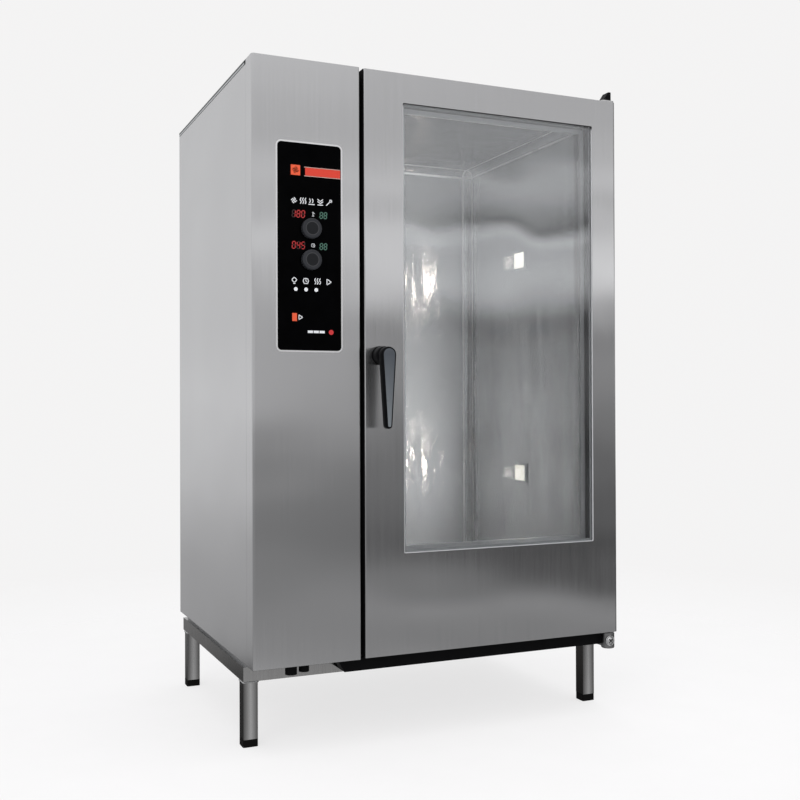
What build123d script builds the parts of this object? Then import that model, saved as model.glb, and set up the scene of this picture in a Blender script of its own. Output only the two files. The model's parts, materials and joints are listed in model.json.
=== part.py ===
from build123d import *
import math
import os

# Floor-standing combi steamer oven: a control column on the left, a full-height
# glazed door hinged on the right, a stainless cavity behind it and an open
# underframe on four levelling feet.
# Units are millimetres. +Z is up, +X is to the right and the door faces -Y.
# The origin is on the floor, at the centre of the whole oven's outline.

# ---------------------------------------------------------------- driving sizes
WIDTH = 1140.0
DEPTH = 880.0            # casing, from the door's face to the back panel
TOP = 1841.0             # top of the casing and the column
HANDLE_REACH = 72.0      # handle in front of the door
REAR_REACH = 22.0        # pipe stubs behind the back panel
CASE_BOTTOM = 234.0
SHEET = 1.2
CREASE = 2.0              # outside radius of a fold

HALF = WIDTH / 2
FRONT = HANDLE_REACH - (DEPTH + HANDLE_REACH + REAR_REACH) / 2
BACK = FRONT + DEPTH
REAR_END = BACK + REAR_REACH

# Underframe of square tube
TUBE = 40.0
TUBE_WALL = 2.0
RAIL_TOP = 216.0
RAIL_BOTTOM = RAIL_TOP - TUBE
FRAME_SIDE = HALF - 8.0            # outer face of the side rails
FRAME_FRONT = FRONT + 120.0
FRAME_END = BACK - 12.0
BACK_LEG = FRONT + 805.0
LEG_BOTTOM = 20.5
FOOT_HEIGHT = 20.0
FOOT_WIDTH = 42.0
STEM_R = 6.0
RUNNING = 0.05                     # radial clearance of a running fit

# Casing
RETURN = 20.0                      # depth of the folded edges
COLUMN_RETURN = 55.0               # side fold of the column's front
FACE = FRONT + 68.0                # front face of the body, behind the door
COLUMN_RIGHT = -268.0
TOP_LIP = 12.0
SEAM = 1.0
BULKHEAD = -260.0                  # sheet between the column and the insulation
PAN_TOP = RAIL_TOP + 2.0
PAN_RIM = 246.0
PAN_BACK = BACK - RETURN - 2
SIDE_TOP = TOP - TOP_LIP - SEAM    # top of the side and back sheets
COLUMN_LEFT_R = 8.0                # outside radii of the column's two upright folds
COLUMN_RIGHT_R = 3.0
LOUVRE_ROWS = 12
LOUVRE_PITCH = 22.0
LOUVRE_HEIGHT = 6.0
LOUVRE_BOTTOM = 1380.0
LOUVRE_X = (-520.0, -320.0)
PIPE_GAP = 1.0                     # radial clearance of a pipe in a sheet
CUSHION = 16.0                     # width of the cavity's gasket
GUTTER_LEFT = -325.0
GUTTER_BOTTOM = 197.5
GUTTER_TOP = 232.0
GUTTER_SLOPE = 21.0
GUTTER_WALL = 3.0

# Door
DOOR_LEFT = -255.0
DOOR_RIGHT = 567.5
DOOR_BOTTOM = 236.0
DOOR_TOP = 1840.0
DOOR_THICK = 56.0
DOOR_REAR = FRONT + DOOR_THICK
DOOR_SHEET = 1.5
WINDOW = (-139.0, 482.0, 514.0, 1758.0)      # left, right, bottom, top
HINGE_X = 550.0
HINGE_Y = FRONT + DOOR_THICK / 2
HINGE_PIN_R = 7.0
KNUCKLE_R = 20.0
HINGE_PLATE = 4.0
PANE = 6.0                         # outer pane; the inner one is a little thinner
PANE_FRONT = FRONT + 3.5
PANE_EDGE = 15.0                   # the outer pane's overlap behind the skin
INNER_PANE_FRONT = FRONT + 46.2
INNER_PANE = 5.0
PANE_HINGE_X = WINDOW[1] + 2
PANE_HINGE_Y = FRONT + 60

# Cavity
CAVITY_LEFT = -228.0
CAVITY_RIGHT = 492.0
CAVITY_BACK = FRONT + 814.0
CAVITY_FLOOR = 330.0
CAVITY_ROOF = 1788.0
CAVITY_WALL = 2.0
CAVITY_ROUND = 25.0
CAVITY_MID_Y = (FACE + CAVITY_BACK) / 2
WOOL = 40.0

# Fans, with a heating ring round each and a lamp opposite
FAN_Z = (694.0, 1412.0)
FAN_R = 165.0
BAFFLE_X = -150.0
SUCTION_R = 140.0                  # slotted round inlet in front of each fan
SLOT_ROWS = 6                      # on each side of the middle one
SLOT_PITCH = 21.0
SLOT_HEIGHT = 14.0
SHAFT_R = 10.0
RING_R = 195.0
RING_TUBE_R = 4.25
LAMP_HALF_Y = 40.0
LAMP_HALF_Z = 34.0
LAMP_RIM = 6.0
SHAFT_GAP = 4.0
BAFFLE_SHEET = 1.5
BAFFLE_INSET = 24.0
STUD_R = 5.0
STUD_INSET = 60.0
BLADES = 24

# Control panel
GLASS = (-501.0, -323.0, 1068.0, 1617.5)     # left, right, bottom, top
GLASS_ROUND = 11.0
BEZEL = 4.0
KNOB_X = -409.0
KNOB_Z = (1308.0, 1391.0)
KNOB_R = 27.0
KNOB_SHAFT_R = 3.0
KNOB_FLUTES = 24
KNOB_FLUTE_R = 2.2
GLASS_STAND = 1.2                  # how far the glass stands in front of the column

# Handle and latch
HANDLE_X = -212.0
HANDLE_Z = 1058.0
LEVER_TOP_R = 21.5
LEVER_TIP_R = 9.5
LEVER_LENGTH = 189.5               # between the centres of its two ends
LEVER_THICK = 27.0
HUB_R = 24.0
SPINDLE_R = 7.0
CAM_OFFSET = 8.0
CAM_PIN_R = 2.5
CAM_R = 16.0
LEVER_BACK = FRONT - HANDLE_REACH + LEVER_THICK
BOLT_FRONT = FRONT + 37.0
BOLT_THICK = 10.0
BOLT_Z = (HANDLE_Z - 20.0, HANDLE_Z + 12.0)
BOLT_SLACK = 3.0                   # round the bolt in the column's slot

# Services
STEP_DOWN = 0.5                    # a pipe's radius inside, below that of its outer end
DRAIN_X = 190.0
DRAIN_R = 19.0
DRAIN_BORE_R = 17.0
DRAIN_Z = 259.0
VENT_X = 300.0
VENT_Y = BACK - 150.0
VENT_R = 26.0
VENT_BORE_R = 24.6
VENT_SPIGOT = 14.0
VENT_TOP = 1873.0
FLAP_Z = 1848.0
STEAM_Y = 270.0
STEAM_Z = 900.0
STEAM_R = 20.0
BOILER_X = -420.0
INLET_X = (-500.0, -440.0)
INLET_Z = 350.0
INLET_R = 13.2
GLAND_X = -380.0
GLAND_Z = 350.0
GLAND_R = 16.0
BOILER_R = 100.0
BOILER_WALL = 3.0
BOILER_Z = (262.0, 700.0)
COOLER_X = -420.0
COOLER_Y = -180.0
COOLER_R = 54.0


# ---------------------------------------------------------------- small helpers
def block(x0, x1, y0, y1, z0, z1):
    centre = Pos((x0 + x1) / 2, (y0 + y1) / 2, (z0 + z1) / 2)
    return centre * Box(x1 - x0, y1 - y0, z1 - z0)


def rod_x(y, z, radius, x0, x1):
    return Pos((x0 + x1) / 2, y, z) * Rot(0, 90, 0) * Cylinder(radius, x1 - x0)


def rod_y(x, z, radius, y0, y1):
    return Pos(x, (y0 + y1) / 2, z) * Rot(90, 0, 0) * Cylinder(radius, y1 - y0)


def rod_z(x, y, radius, z0, z1):
    return Pos(x, y, (z0 + z1) / 2) * Cylinder(radius, z1 - z0)


def group(shapes):
    solids = [solid for shape in shapes for solid in shape.solids()]
    return Compound(children=solids)


def front_rounded(x0, x1, y0, y1, z0, z1, left_r, right_r, crease=0.0):
    """A block whose two upright front edges are rounded, and its other front edges by crease."""
    shape = block(x0, x1, y0, y1, z0, z1)
    for radius, end in ((left_r, 0), (right_r, -1)):
        uprights = shape.edges().filter_by(Axis.Z).group_by(Axis.Y)[0]
        shape = fillet(uprights.sort_by(Axis.X)[end], radius)
    if crease > 0:
        level = shape.faces().sort_by(Axis.Y)[0].edges().filter_by(Axis.X)
        shape = fillet(level, crease)
    return shape


def square_tube_x(x0, x1, y0, z0):
    inner = block(x0, x1, y0 + TUBE_WALL, y0 + TUBE - TUBE_WALL,
                  z0 + TUBE_WALL, z0 + TUBE - TUBE_WALL)
    return block(x0, x1, y0, y0 + TUBE, z0, z0 + TUBE) - inner


def square_tube_y(x0, y0, y1, z0):
    inner = block(x0 + TUBE_WALL, x0 + TUBE - TUBE_WALL, y0, y1,
                  z0 + TUBE_WALL, z0 + TUBE - TUBE_WALL)
    return block(x0, x0 + TUBE, y0, y1, z0, z0 + TUBE) - inner


def window_ring(outer, inner, y0, y1, inner_r=0.0):
    """A flat ring in the XZ plane. outer and inner are left, right, bottom, top."""
    hole = block(inner[0], inner[1], y0, y1, inner[2], inner[3])
    if inner_r > 0:
        hole = fillet(hole.edges().filter_by(Axis.Y), inner_r)
    return block(outer[0], outer[1], y0, y1, outer[2], outer[3]) - hole


def grown(box, by):
    return (box[0] - by, box[1] + by, box[2] - by, box[3] + by)


CAVITY_MOUTH = (CAVITY_LEFT, CAVITY_RIGHT, CAVITY_FLOOR, CAVITY_ROOF)


# ---------------------------------------------------------------- underframe
def frame_rails():
    left = -FRAME_SIDE
    right = FRAME_SIDE - TUBE
    inner_left = left + TUBE
    rails = [
        square_tube_y(left, FRAME_FRONT, FRAME_END, RAIL_BOTTOM),
        square_tube_y(right, FRAME_FRONT, FRAME_END, RAIL_BOTTOM),
        square_tube_x(inner_left, right, FRAME_FRONT, RAIL_BOTTOM),
        square_tube_x(inner_left, right, BACK_LEG, RAIL_BOTTOM),
        square_tube_y(COLUMN_RIGHT, FRAME_FRONT + TUBE, BACK_LEG, RAIL_BOTTOM),
    ]
    for x0 in (left, right):
        for y0 in (FRAME_FRONT, FRAME_END - TUBE_WALL):
            rails.append(block(x0 + TUBE_WALL, x0 + TUBE - TUBE_WALL, y0, y0 + TUBE_WALL,
                               RAIL_BOTTOM + TUBE_WALL, RAIL_TOP - TUBE_WALL))
    return group(rails)


def leg_corners():
    for x in (-FRAME_SIDE + TUBE / 2, FRAME_SIDE - TUBE / 2):
        for y in (FRAME_FRONT + TUBE / 2, BACK_LEG + TUBE / 2):
            yield x, y


def frame_legs():
    half = TUBE / 2
    inside = half - TUBE_WALL
    legs = []
    for x, y in leg_corners():
        outer = block(x - half, x + half, y - half, y + half, LEG_BOTTOM, RAIL_BOTTOM)
        hollow = block(x - inside, x + inside, y - inside, y + inside, LEG_BOTTOM + 6, RAIL_BOTTOM)
        legs.append(outer - hollow - rod_z(x, y, STEM_R + RUNNING, 0, LEG_BOTTOM + 6))
    return group(legs)


def levelling_foot(x, y):
    half = FOOT_WIDTH / 2
    pad = block(x - half, x + half, y - half, y + half, 0, FOOT_HEIGHT)
    pad = fillet(pad.edges().filter_by(Axis.Z), 5)
    return pad + rod_z(x, y, STEM_R, FOOT_HEIGHT, 70)


# ---------------------------------------------------------------- casing
def base_pan():
    x = HALF - RETURN - 1
    y0 = FACE + 4
    pan = block(-x, x, y0, PAN_BACK, RAIL_TOP, PAN_RIM)
    pan -= block(-x + SHEET, x - SHEET, y0 + SHEET, PAN_BACK - SHEET, PAN_TOP, PAN_RIM)
    pan -= rod_z(COOLER_X, COOLER_Y, COOLER_R, RAIL_TOP, PAN_TOP)
    return pan - rod_y(DRAIN_X, DRAIN_Z, DRAIN_R + PIPE_GAP, PAN_BACK - SHEET, PAN_BACK)


def side_panel(side):
    """Side sheet with folded edges; side is -1 on the left and 1 on the right."""
    y0 = FRONT + COLUMN_RETURN + SEAM if side < 0 else FACE
    outer = block(HALF - RETURN, HALF, y0, BACK, CASE_BOTTOM, SIDE_TOP)
    outer = fillet(outer.faces().sort_by(Axis.X)[-1].edges(), CREASE)
    inner = block(HALF - RETURN, HALF - SHEET, y0 + SHEET, BACK - SHEET,
                  CASE_BOTTOM + SHEET, SIDE_TOP - SHEET)
    panel = outer - inner
    return panel if side > 0 else mirror(panel, Plane.YZ)


def back_panel():
    x = HALF - RETURN - 0.5
    y0 = BACK - RETURN
    panel = block(-x, x, y0, BACK, CASE_BOTTOM, SIDE_TOP)
    panel = fillet(panel.faces().sort_by(Axis.Y)[-1].edges(), CREASE)
    panel -= block(-x + SHEET, x - SHEET, y0, BACK - SHEET, CASE_BOTTOM + SHEET, SIDE_TOP - SHEET)
    for row in range(LOUVRE_ROWS):
        z = LOUVRE_BOTTOM + LOUVRE_PITCH * row
        panel -= block(LOUVRE_X[0], LOUVRE_X[1], y0, BACK, z, z + LOUVRE_HEIGHT)
    for x in INLET_X:
        panel -= rod_y(x, INLET_Z, INLET_R + PIPE_GAP, y0, BACK)
    panel -= rod_y(GLAND_X, GLAND_Z, GLAND_R + PIPE_GAP, y0, BACK)
    panel -= rod_y(DRAIN_X, DRAIN_Z, DRAIN_R + PIPE_GAP, y0, BACK)
    return panel


def top_cover():
    """Four folded sheets, welded round a square opening for the vent."""
    cover = block(-HALF, HALF, FACE, BACK, TOP - TOP_LIP, TOP)
    cover = fillet(cover.faces().sort_by(Axis.Z)[-1].edges(), CREASE)
    cover -= block(-HALF + SHEET, HALF - SHEET, FACE + SHEET, BACK - SHEET,
                   TOP - TOP_LIP, TOP - SHEET)
    reach = VENT_R + PIPE_GAP
    left = VENT_X - reach
    right = VENT_X + reach
    sheets = []
    for x0, x1, y0, y1 in ((-HALF, left, FACE, BACK), (right, HALF, FACE, BACK),
                           (left, right, FACE, VENT_Y - reach), (left, right, VENT_Y + reach, BACK)):
        sheets.append(cover & block(x0, x1, y0, y1, TOP - TOP_LIP, TOP))
    return group(sheets)


def column_front_panel():
    """Folded front of the column, with a deeper fold along its top and its right."""
    depth = FACE - FRONT - 0.5
    outer = front_rounded(-HALF, COLUMN_RIGHT, FRONT, FRONT + depth, CASE_BOTTOM, TOP,
                          COLUMN_LEFT_R, COLUMN_RIGHT_R, CREASE)
    inner = front_rounded(-HALF + SHEET, COLUMN_RIGHT - SHEET, FRONT + SHEET, FRONT + depth,
                          CASE_BOTTOM + SHEET, TOP - SHEET,
                          COLUMN_LEFT_R - SHEET, COLUMN_RIGHT_R - SHEET)
    panel = outer - inner
    panel -= block(-HALF, -HALF + RETURN, FRONT + COLUMN_RETURN, FRONT + depth,
                   CASE_BOTTOM, TOP - SHEET)
    hole = grown(GLASS, -6)
    panel -= block(hole[0], hole[1], FRONT, FRONT + 5, hole[2], hole[3])
    return panel - bolt_slot(COLUMN_RIGHT - SHEET, COLUMN_RIGHT)


def bolt_slot(x0, x1):
    """The room round the latch bolt, between two places along X."""
    return block(x0, x1, BOLT_FRONT - BOLT_SLACK, BOLT_FRONT + BOLT_THICK + BOLT_SLACK,
                 BOLT_Z[0] - BOLT_SLACK, BOLT_Z[1] + BOLT_SLACK)


def column_bulkhead():
    wall = block(BULKHEAD, BULKHEAD + SHEET, FACE + 4, PAN_BACK, PAN_RIM + 1, SIDE_TOP - 2)
    for z in FAN_Z:
        wall -= rod_x(CAVITY_MID_Y, z, SHAFT_R + SHAFT_GAP, BULKHEAD, BULKHEAD + SHEET)
    wall -= rod_x(STEAM_Y, STEAM_Z, STEAM_R + PIPE_GAP, BULKHEAD, BULKHEAD + SHEET)
    return wall


def cavity_front_frame():
    outer = (COLUMN_RIGHT + 1, HALF - RETURN - 1, CASE_BOTTOM, SIDE_TOP)
    return window_ring(outer, CAVITY_MOUTH, FACE, FACE + CAVITY_WALL, CAVITY_ROUND)


def rounded_pocket(x0, x1, y0, y1, z0, z1, radius):
    """A block with every edge rounded except those of its front face."""
    shape = block(x0, x1, y0, y1, z0, z1)
    soft = shape.edges().filter_by(lambda edge: edge.center().Y > y0 + 1)
    return fillet(soft, radius)


def lamp_block(z, x0, x1, inset):
    """A block on a lamp's centre, smaller than its bezel by inset all round."""
    return block(x0, x1, CAVITY_MID_Y - LAMP_HALF_Y + inset, CAVITY_MID_Y + LAMP_HALF_Y - inset,
                 z - LAMP_HALF_Z + inset, z + LAMP_HALF_Z - inset)


def cavity_liner():
    """Four flat sheets, two rounded strips along each corner and a pressed back, welded together."""
    y0 = FACE + CAVITY_WALL
    wall = CAVITY_WALL
    outer = rounded_pocket(CAVITY_LEFT - wall, CAVITY_RIGHT + wall, y0, CAVITY_BACK + wall,
                           CAVITY_FLOOR - wall, CAVITY_ROOF + wall, CAVITY_ROUND + wall)
    inner = rounded_pocket(CAVITY_LEFT, CAVITY_RIGHT, y0, CAVITY_BACK,
                           CAVITY_FLOOR, CAVITY_ROOF, CAVITY_ROUND)
    liner = outer - inner
    for z in FAN_Z:
        liner -= rod_x(CAVITY_MID_Y, z, SHAFT_R + SHAFT_GAP, CAVITY_LEFT - wall, CAVITY_LEFT)
        liner -= lamp_block(z, CAVITY_RIGHT, CAVITY_RIGHT + wall, LAMP_RIM)
    liner -= rod_x(STEAM_Y, STEAM_Z, STEAM_R + PIPE_GAP, CAVITY_LEFT - wall, CAVITY_LEFT)
    liner -= rod_z(DRAIN_X, CAVITY_MID_Y, DRAIN_R + PIPE_GAP, CAVITY_FLOOR - wall, CAVITY_FLOOR)
    liner -= rod_z(VENT_X, VENT_Y, VENT_R + 0.5, CAVITY_ROOF, CAVITY_ROOF + wall)
    weld = CAVITY_BACK - CAVITY_ROUND
    cove = CAVITY_ROUND
    fold = CAVITY_ROUND * (1 - math.cos(math.pi / 4))
    xs = (CAVITY_LEFT - wall, CAVITY_LEFT + fold, CAVITY_LEFT + cove,
          CAVITY_RIGHT - cove, CAVITY_RIGHT - fold, CAVITY_RIGHT + wall)
    rows = ((CAVITY_FLOOR - wall, CAVITY_FLOOR + cove), (CAVITY_FLOOR + cove, CAVITY_ROOF - cove),
            (CAVITY_ROOF - cove, CAVITY_ROOF + wall))
    sheets = [liner & block(xs[0], xs[-1], weld, CAVITY_BACK + wall, rows[0][0], rows[-1][1])]
    for x0, x1 in ((xs[0], xs[2]), (xs[3], xs[5])):
        sheets.append(liner & block(x0, x1, y0, weld, rows[1][0], rows[1][1]))
    for z0, z1 in (rows[0], rows[2]):
        for x0, x1 in zip(xs, xs[1:]):
            sheets.append(liner & block(x0, x1, y0, weld, z0, z1))
    return group(sheets)


def insulation():
    """Mineral wool jacket round the liner, open at the front."""
    y0 = FACE + CAVITY_WALL + 0.5
    gap = CAVITY_WALL + 0.5
    left = BULKHEAD + SHEET + 0.3
    right = CAVITY_RIGHT + WOOL
    wool = block(left, right, y0, CAVITY_BACK + WOOL, CAVITY_FLOOR - WOOL, TOP - TOP_LIP - 3)
    wool -= block(CAVITY_LEFT - gap, CAVITY_RIGHT + gap, y0, CAVITY_BACK + gap,
                  CAVITY_FLOOR - gap, CAVITY_ROOF + gap)
    for z in FAN_Z:
        wool -= rod_x(CAVITY_MID_Y, z, SHAFT_R + SHAFT_GAP + 1, left, CAVITY_LEFT)
        wool -= lamp_block(z, CAVITY_RIGHT, right, 0)
    wool -= rod_x(STEAM_Y, STEAM_Z, STEAM_R + 2 * PIPE_GAP, left, CAVITY_LEFT)
    wool -= rod_z(DRAIN_X, CAVITY_MID_Y, DRAIN_R + 2 * PIPE_GAP, CAVITY_FLOOR - WOOL, CAVITY_FLOOR)
    wool -= rod_z(VENT_X, VENT_Y, VENT_R + 2 * PIPE_GAP, CAVITY_ROOF, TOP)
    return wool


def cavity_gasket():
    inner = grown(CAVITY_MOUTH, 2)
    outer = grown(inner, CUSHION)
    ring = window_ring(outer, inner, DOOR_REAR + 0.4, FACE, CAVITY_ROUND)
    corners = ring.edges().filter_by(Axis.Y).group_by(Axis.X)
    return fillet(corners[0] + corners[-1], 30)


def drip_gutter():
    """Trough under the door; its left end slopes."""
    right = HINGE_X - KNUCKLE_R - 7
    y0 = FRONT + 30
    y1 = FACE + 3

    def prism(inset, y_low, y_high, z_high):
        low = GUTTER_BOTTOM + inset
        outline = [(GUTTER_LEFT + inset, z_high), (right - inset, z_high),
                   (right - inset, low), (GUTTER_LEFT + GUTTER_SLOPE + inset, low)]
        face = Plane((0, y_low, 0), x_dir=(1, 0, 0), z_dir=(0, 1, 0))
        points = [(x, -z) for x, z in outline]
        return extrude(face * make_face(Polyline(points, close=True)), amount=y_high - y_low)

    trough = prism(0, y0, y1, GUTTER_TOP)
    trough -= prism(GUTTER_WALL, y0 + GUTTER_WALL, y1 - GUTTER_WALL, GUTTER_TOP)
    return trough + block(GUTTER_LEFT + GUTTER_SLOPE, right, y1 - GUTTER_WALL, FRAME_FRONT,
                          GUTTER_BOTTOM, GUTTER_BOTTOM + GUTTER_WALL)


def underside_grommets():
    """Two rubber bushes that hang below the column, in front of the rail."""
    bushes = []
    for x, radius, low in ((-451, 16, 204), (-414, 14, 208)):
        y = FRONT + 60 - radius + 4
        bush = rod_z(x, y, radius, low, CASE_BOTTOM) - rod_z(x, y, radius - 5, low, CASE_BOTTOM)
        bushes.append(bush)
    return group(bushes)


# ---------------------------------------------------------------- door hinges
def upper_hinge_bracket():
    plate = block(HINGE_X - 26, HINGE_X + 19, FRONT + 6, FACE + 120, TOP + 0.5, TOP + 0.5 + HINGE_PLATE)
    plate = fillet(plate.edges().filter_by(Axis.Z).group_by(Axis.Y)[0], 10)
    foot = block(HINGE_X - 26, HINGE_X + 17, FACE + 60, FACE + 120, TOP, TOP + 0.5)
    return plate + foot + rod_z(HINGE_X, HINGE_Y, HINGE_PIN_R, TOP - 26, TOP + 0.5)


def hinge_cap():
    """Black cover over the upper pin, sloping on its left."""
    z0 = TOP + 0.5 + HINGE_PLATE
    outline = [(HINGE_X - 17, z0), (HINGE_X, VENT_TOP - 2), (HINGE_X + 2, VENT_TOP),
               (HINGE_X + 13, VENT_TOP), (HINGE_X + 13, z0)]
    face = Plane((0, HINGE_Y + 14, 0), x_dir=(1, 0, 0), z_dir=(0, -1, 0))
    cap = extrude(face * make_face(Polyline(outline, close=True)), amount=28)
    return fillet(cap.edges().filter_by(Axis.Z), 5)


def lower_hinge_bracket():
    knuckle = rod_z(HINGE_X, HINGE_Y, KNUCKLE_R, 184, 232)
    knuckle = fillet(knuckle.edges(), 4)
    arm = block(HINGE_X - 18, HINGE_X + 12, HINGE_Y, FRAME_FRONT, 190, 213)
    return knuckle + arm + rod_z(HINGE_X, HINGE_Y, HINGE_PIN_R, 230, DOOR_BOTTOM + 30)


def hinge_bushings():
    """Blocks inside the door that turn on the two pins."""
    bore = HINGE_PIN_R + RUNNING
    blocks = []
    for z0, z1 in ((DOOR_BOTTOM + DOOR_SHEET, DOOR_BOTTOM + 40),
                   (DOOR_TOP - 40, DOOR_TOP - DOOR_SHEET)):
        body = block(HINGE_X - 18, HINGE_X + 15, HINGE_Y - 18, HINGE_Y + 18, z0, z1)
        blocks.append(body - rod_z(HINGE_X, HINGE_Y, bore, z0, z1))
    return group(blocks)


# ---------------------------------------------------------------- door
def door_skin():
    outer = front_rounded(DOOR_LEFT, DOOR_RIGHT, FRONT, DOOR_REAR, DOOR_BOTTOM, DOOR_TOP,
                          3, 10, CREASE)
    inset = DOOR_SHEET
    inner = front_rounded(DOOR_LEFT + inset, DOOR_RIGHT - inset, FRONT + inset, DOOR_REAR,
                          DOOR_BOTTOM + inset, DOOR_TOP - inset, 1.5, 8.5)
    skin = outer - inner
    opening = block(WINDOW[0], WINDOW[1], FRONT, FRONT + inset, WINDOW[2], WINDOW[3])
    skin -= fillet(opening.edges().filter_by(Axis.Y), 4)
    for z in (DOOR_BOTTOM, DOOR_TOP - inset):
        skin -= rod_z(HINGE_X, HINGE_Y, HINGE_PIN_R + 1, z, z + inset)
    skin -= rod_y(HANDLE_X, HANDLE_Z, SPINDLE_R + 2, FRONT, FRONT + inset)
    skin -= block(DOOR_LEFT, DOOR_LEFT + inset, FRONT + 36, FRONT + 48,
                  HANDLE_Z - 21, HANDLE_Z + 13)
    return skin


def door_inner_frame():
    """Rear sheet of the door with the jambs of the window and the bolt's guides."""
    sheet = DOOR_SHEET
    edge = (DOOR_LEFT + sheet, DOOR_RIGHT - sheet, DOOR_BOTTOM + sheet, DOOR_TOP - sheet)
    rear = window_ring(edge, WINDOW, DOOR_REAR - sheet, DOOR_REAR)
    jambs = window_ring(grown(WINDOW, sheet), WINDOW, FRONT + 10, DOOR_REAR)
    frame = rear + jambs
    for z0 in (HANDLE_Z + 12.3, HANDLE_Z - 28):
        frame += block(DOOR_LEFT + 4, DOOR_LEFT + 23, FRONT + 36, DOOR_REAR - sheet, z0, z0 + 7.7)
    return frame


def door_glass_seal():
    return window_ring(grown(WINDOW, PANE_EDGE), grown(WINDOW, -2), FRONT + DOOR_SHEET, PANE_FRONT, 4)


def door_outer_glass():
    edge = grown(WINDOW, PANE_EDGE)
    return block(edge[0], edge[1], PANE_FRONT, PANE_FRONT + PANE, edge[2], edge[3])


def inner_glass():
    edge = grown(WINDOW, -8)
    return block(edge[0], edge[1], INNER_PANE_FRONT, INNER_PANE_FRONT + INNER_PANE, edge[2], edge[3])


def inner_glass_frame():
    """Black channel round the inner pane, with two hinge barrels on its right."""
    outer = grown(WINDOW, -2)
    frame = window_ring(outer, grown(WINDOW, -14), FRONT + 43, FRONT + 55)
    frame -= inner_glass()
    for z in (WINDOW[2] + 120, WINDOW[3] - 120):
        frame += block(outer[1] - 14, outer[1] + 2, FRONT + 54, FRONT + 58.5, z - 24, z + 24) \
            - block(outer[1], outer[1] + 4, FRONT + 54, FRONT + 56.5, z - 24, z + 24)
        frame += rod_z(PANE_HINGE_X, PANE_HINGE_Y, 3.2, z - 24, z + 24)
    return frame


# ---------------------------------------------------------------- handle and latch
def handle_rosette():
    rosette = rod_y(HANDLE_X, HANDLE_Z, HUB_R + 1.5, FRONT - 10, FRONT)
    rosette = fillet(rosette.edges().group_by(Axis.Y)[0], 1.5)
    return rosette - rod_y(HANDLE_X, HANDLE_Z, SPINDLE_R + RUNNING, FRONT - 10, FRONT)


def handle_lever():
    ends = (Pos(HANDLE_X, HANDLE_Z) * Circle(LEVER_TOP_R)).edges()
    ends += (Pos(HANDLE_X, HANDLE_Z - LEVER_LENGTH) * Circle(LEVER_TIP_R)).edges()
    face = Plane((0, LEVER_BACK, 0), x_dir=(1, 0, 0), z_dir=(0, -1, 0))
    lever = extrude(face * make_hull(ends), amount=LEVER_THICK)
    lever = fillet(lever.edges().group_by(Axis.Y)[0], 6)
    neck = rod_y(HANDLE_X, HANDLE_Z, HUB_R, LEVER_BACK + 6, FRONT - 10.3)
    neck += rod_y(HANDLE_X, HANDLE_Z, LEVER_TOP_R, LEVER_BACK, LEVER_BACK + 6)
    return lever + neck - rod_y(HANDLE_X, HANDLE_Z, SPINDLE_R, LEVER_BACK - 12, FRONT)


def handle_spindle():
    """Spindle through the door, with the cam and its pin that draw the bolt."""
    cam_back = BOLT_FRONT - 4
    spindle = rod_y(HANDLE_X, HANDLE_Z, SPINDLE_R, LEVER_BACK - 12, cam_back)
    cam = rod_y(HANDLE_X, HANDLE_Z, CAM_R, cam_back - 7, cam_back)
    pin = rod_y(HANDLE_X, HANDLE_Z - CAM_OFFSET, CAM_PIN_R, cam_back - 1, BOLT_FRONT + BOLT_THICK / 2)
    return spindle + cam + pin


def latch_bolt():
    end = BOLT_FRONT + BOLT_THICK
    bolt = block(DOOR_LEFT - 8, HANDLE_X + 26, BOLT_FRONT, end, BOLT_Z[0], BOLT_Z[1])
    slack = CAM_PIN_R + 2.2
    bolt -= block(HANDLE_X - slack, HANDLE_X + slack, BOLT_FRONT, end,
                  HANDLE_Z - CAM_OFFSET - slack, HANDLE_Z + slack)
    nose = bolt.edges().filter_by(Axis.Z).group_by(Axis.X)[0]
    return chamfer(nose, 2)


def latch_keeper():
    x1 = COLUMN_RIGHT - SHEET
    plate = block(x1 - 4, x1, FRONT + 22, FRONT + 62, HANDLE_Z - 44, HANDLE_Z + 36)
    return plate - bolt_slot(x1 - 4, x1)


# ---------------------------------------------------------------- control panel
def control_bezel():
    outer = grown(GLASS, BEZEL)
    body = block(outer[0], outer[1], FRONT - 1.5, FRONT, outer[2], outer[3])
    body = fillet(body.edges().filter_by(Axis.Y), GLASS_ROUND + BEZEL)
    hole = block(GLASS[0], GLASS[1], FRONT - 1.5, FRONT, GLASS[2], GLASS[3])
    return body - fillet(hole.edges().filter_by(Axis.Y), GLASS_ROUND)


def control_glass():
    edge = grown(GLASS, -0.2)
    pane = block(edge[0], edge[1], FRONT - GLASS_STAND, FRONT, edge[2], edge[3])
    pane = fillet(pane.edges().filter_by(Axis.Y), GLASS_ROUND)
    back = grown(GLASS, -7)
    pane += block(back[0], back[1], FRONT, FRONT + 3, back[2], back[3])
    for z in KNOB_Z:
        pane -= rod_y(KNOB_X, z, KNOB_SHAFT_R + 1, FRONT - GLASS_STAND, FRONT + 3)
    return pane


def display_board():
    """Circuit board behind the glass, with its encoders, displays and terminals."""
    back = grown(GLASS, -9)
    y = FRONT + 14
    pieces = [block(back[0], back[1], y, y + 1.6, back[2], back[3])]
    for z in KNOB_Z:
        encoder = block(KNOB_X - 13, KNOB_X + 13, FRONT + 4, y, z - 13, z + 13)
        pieces.append(encoder - rod_y(KNOB_X, z, KNOB_SHAFT_R + RUNNING, FRONT + 4, FRONT + 12))
    for x, z in ((-442, 1431), (-442, 1347), (-371, 1431), (-371, 1347)):
        pieces.append(block(x - 20, x + 20, FRONT + 4, y, z - 10, z + 10))
    for z in (1120, 1180, 1500, 1560):
        pieces.append(block(KNOB_X - 40, KNOB_X + 30, y + 1.6, y + 16, z - 12, z + 12))
    return group(pieces)


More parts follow.
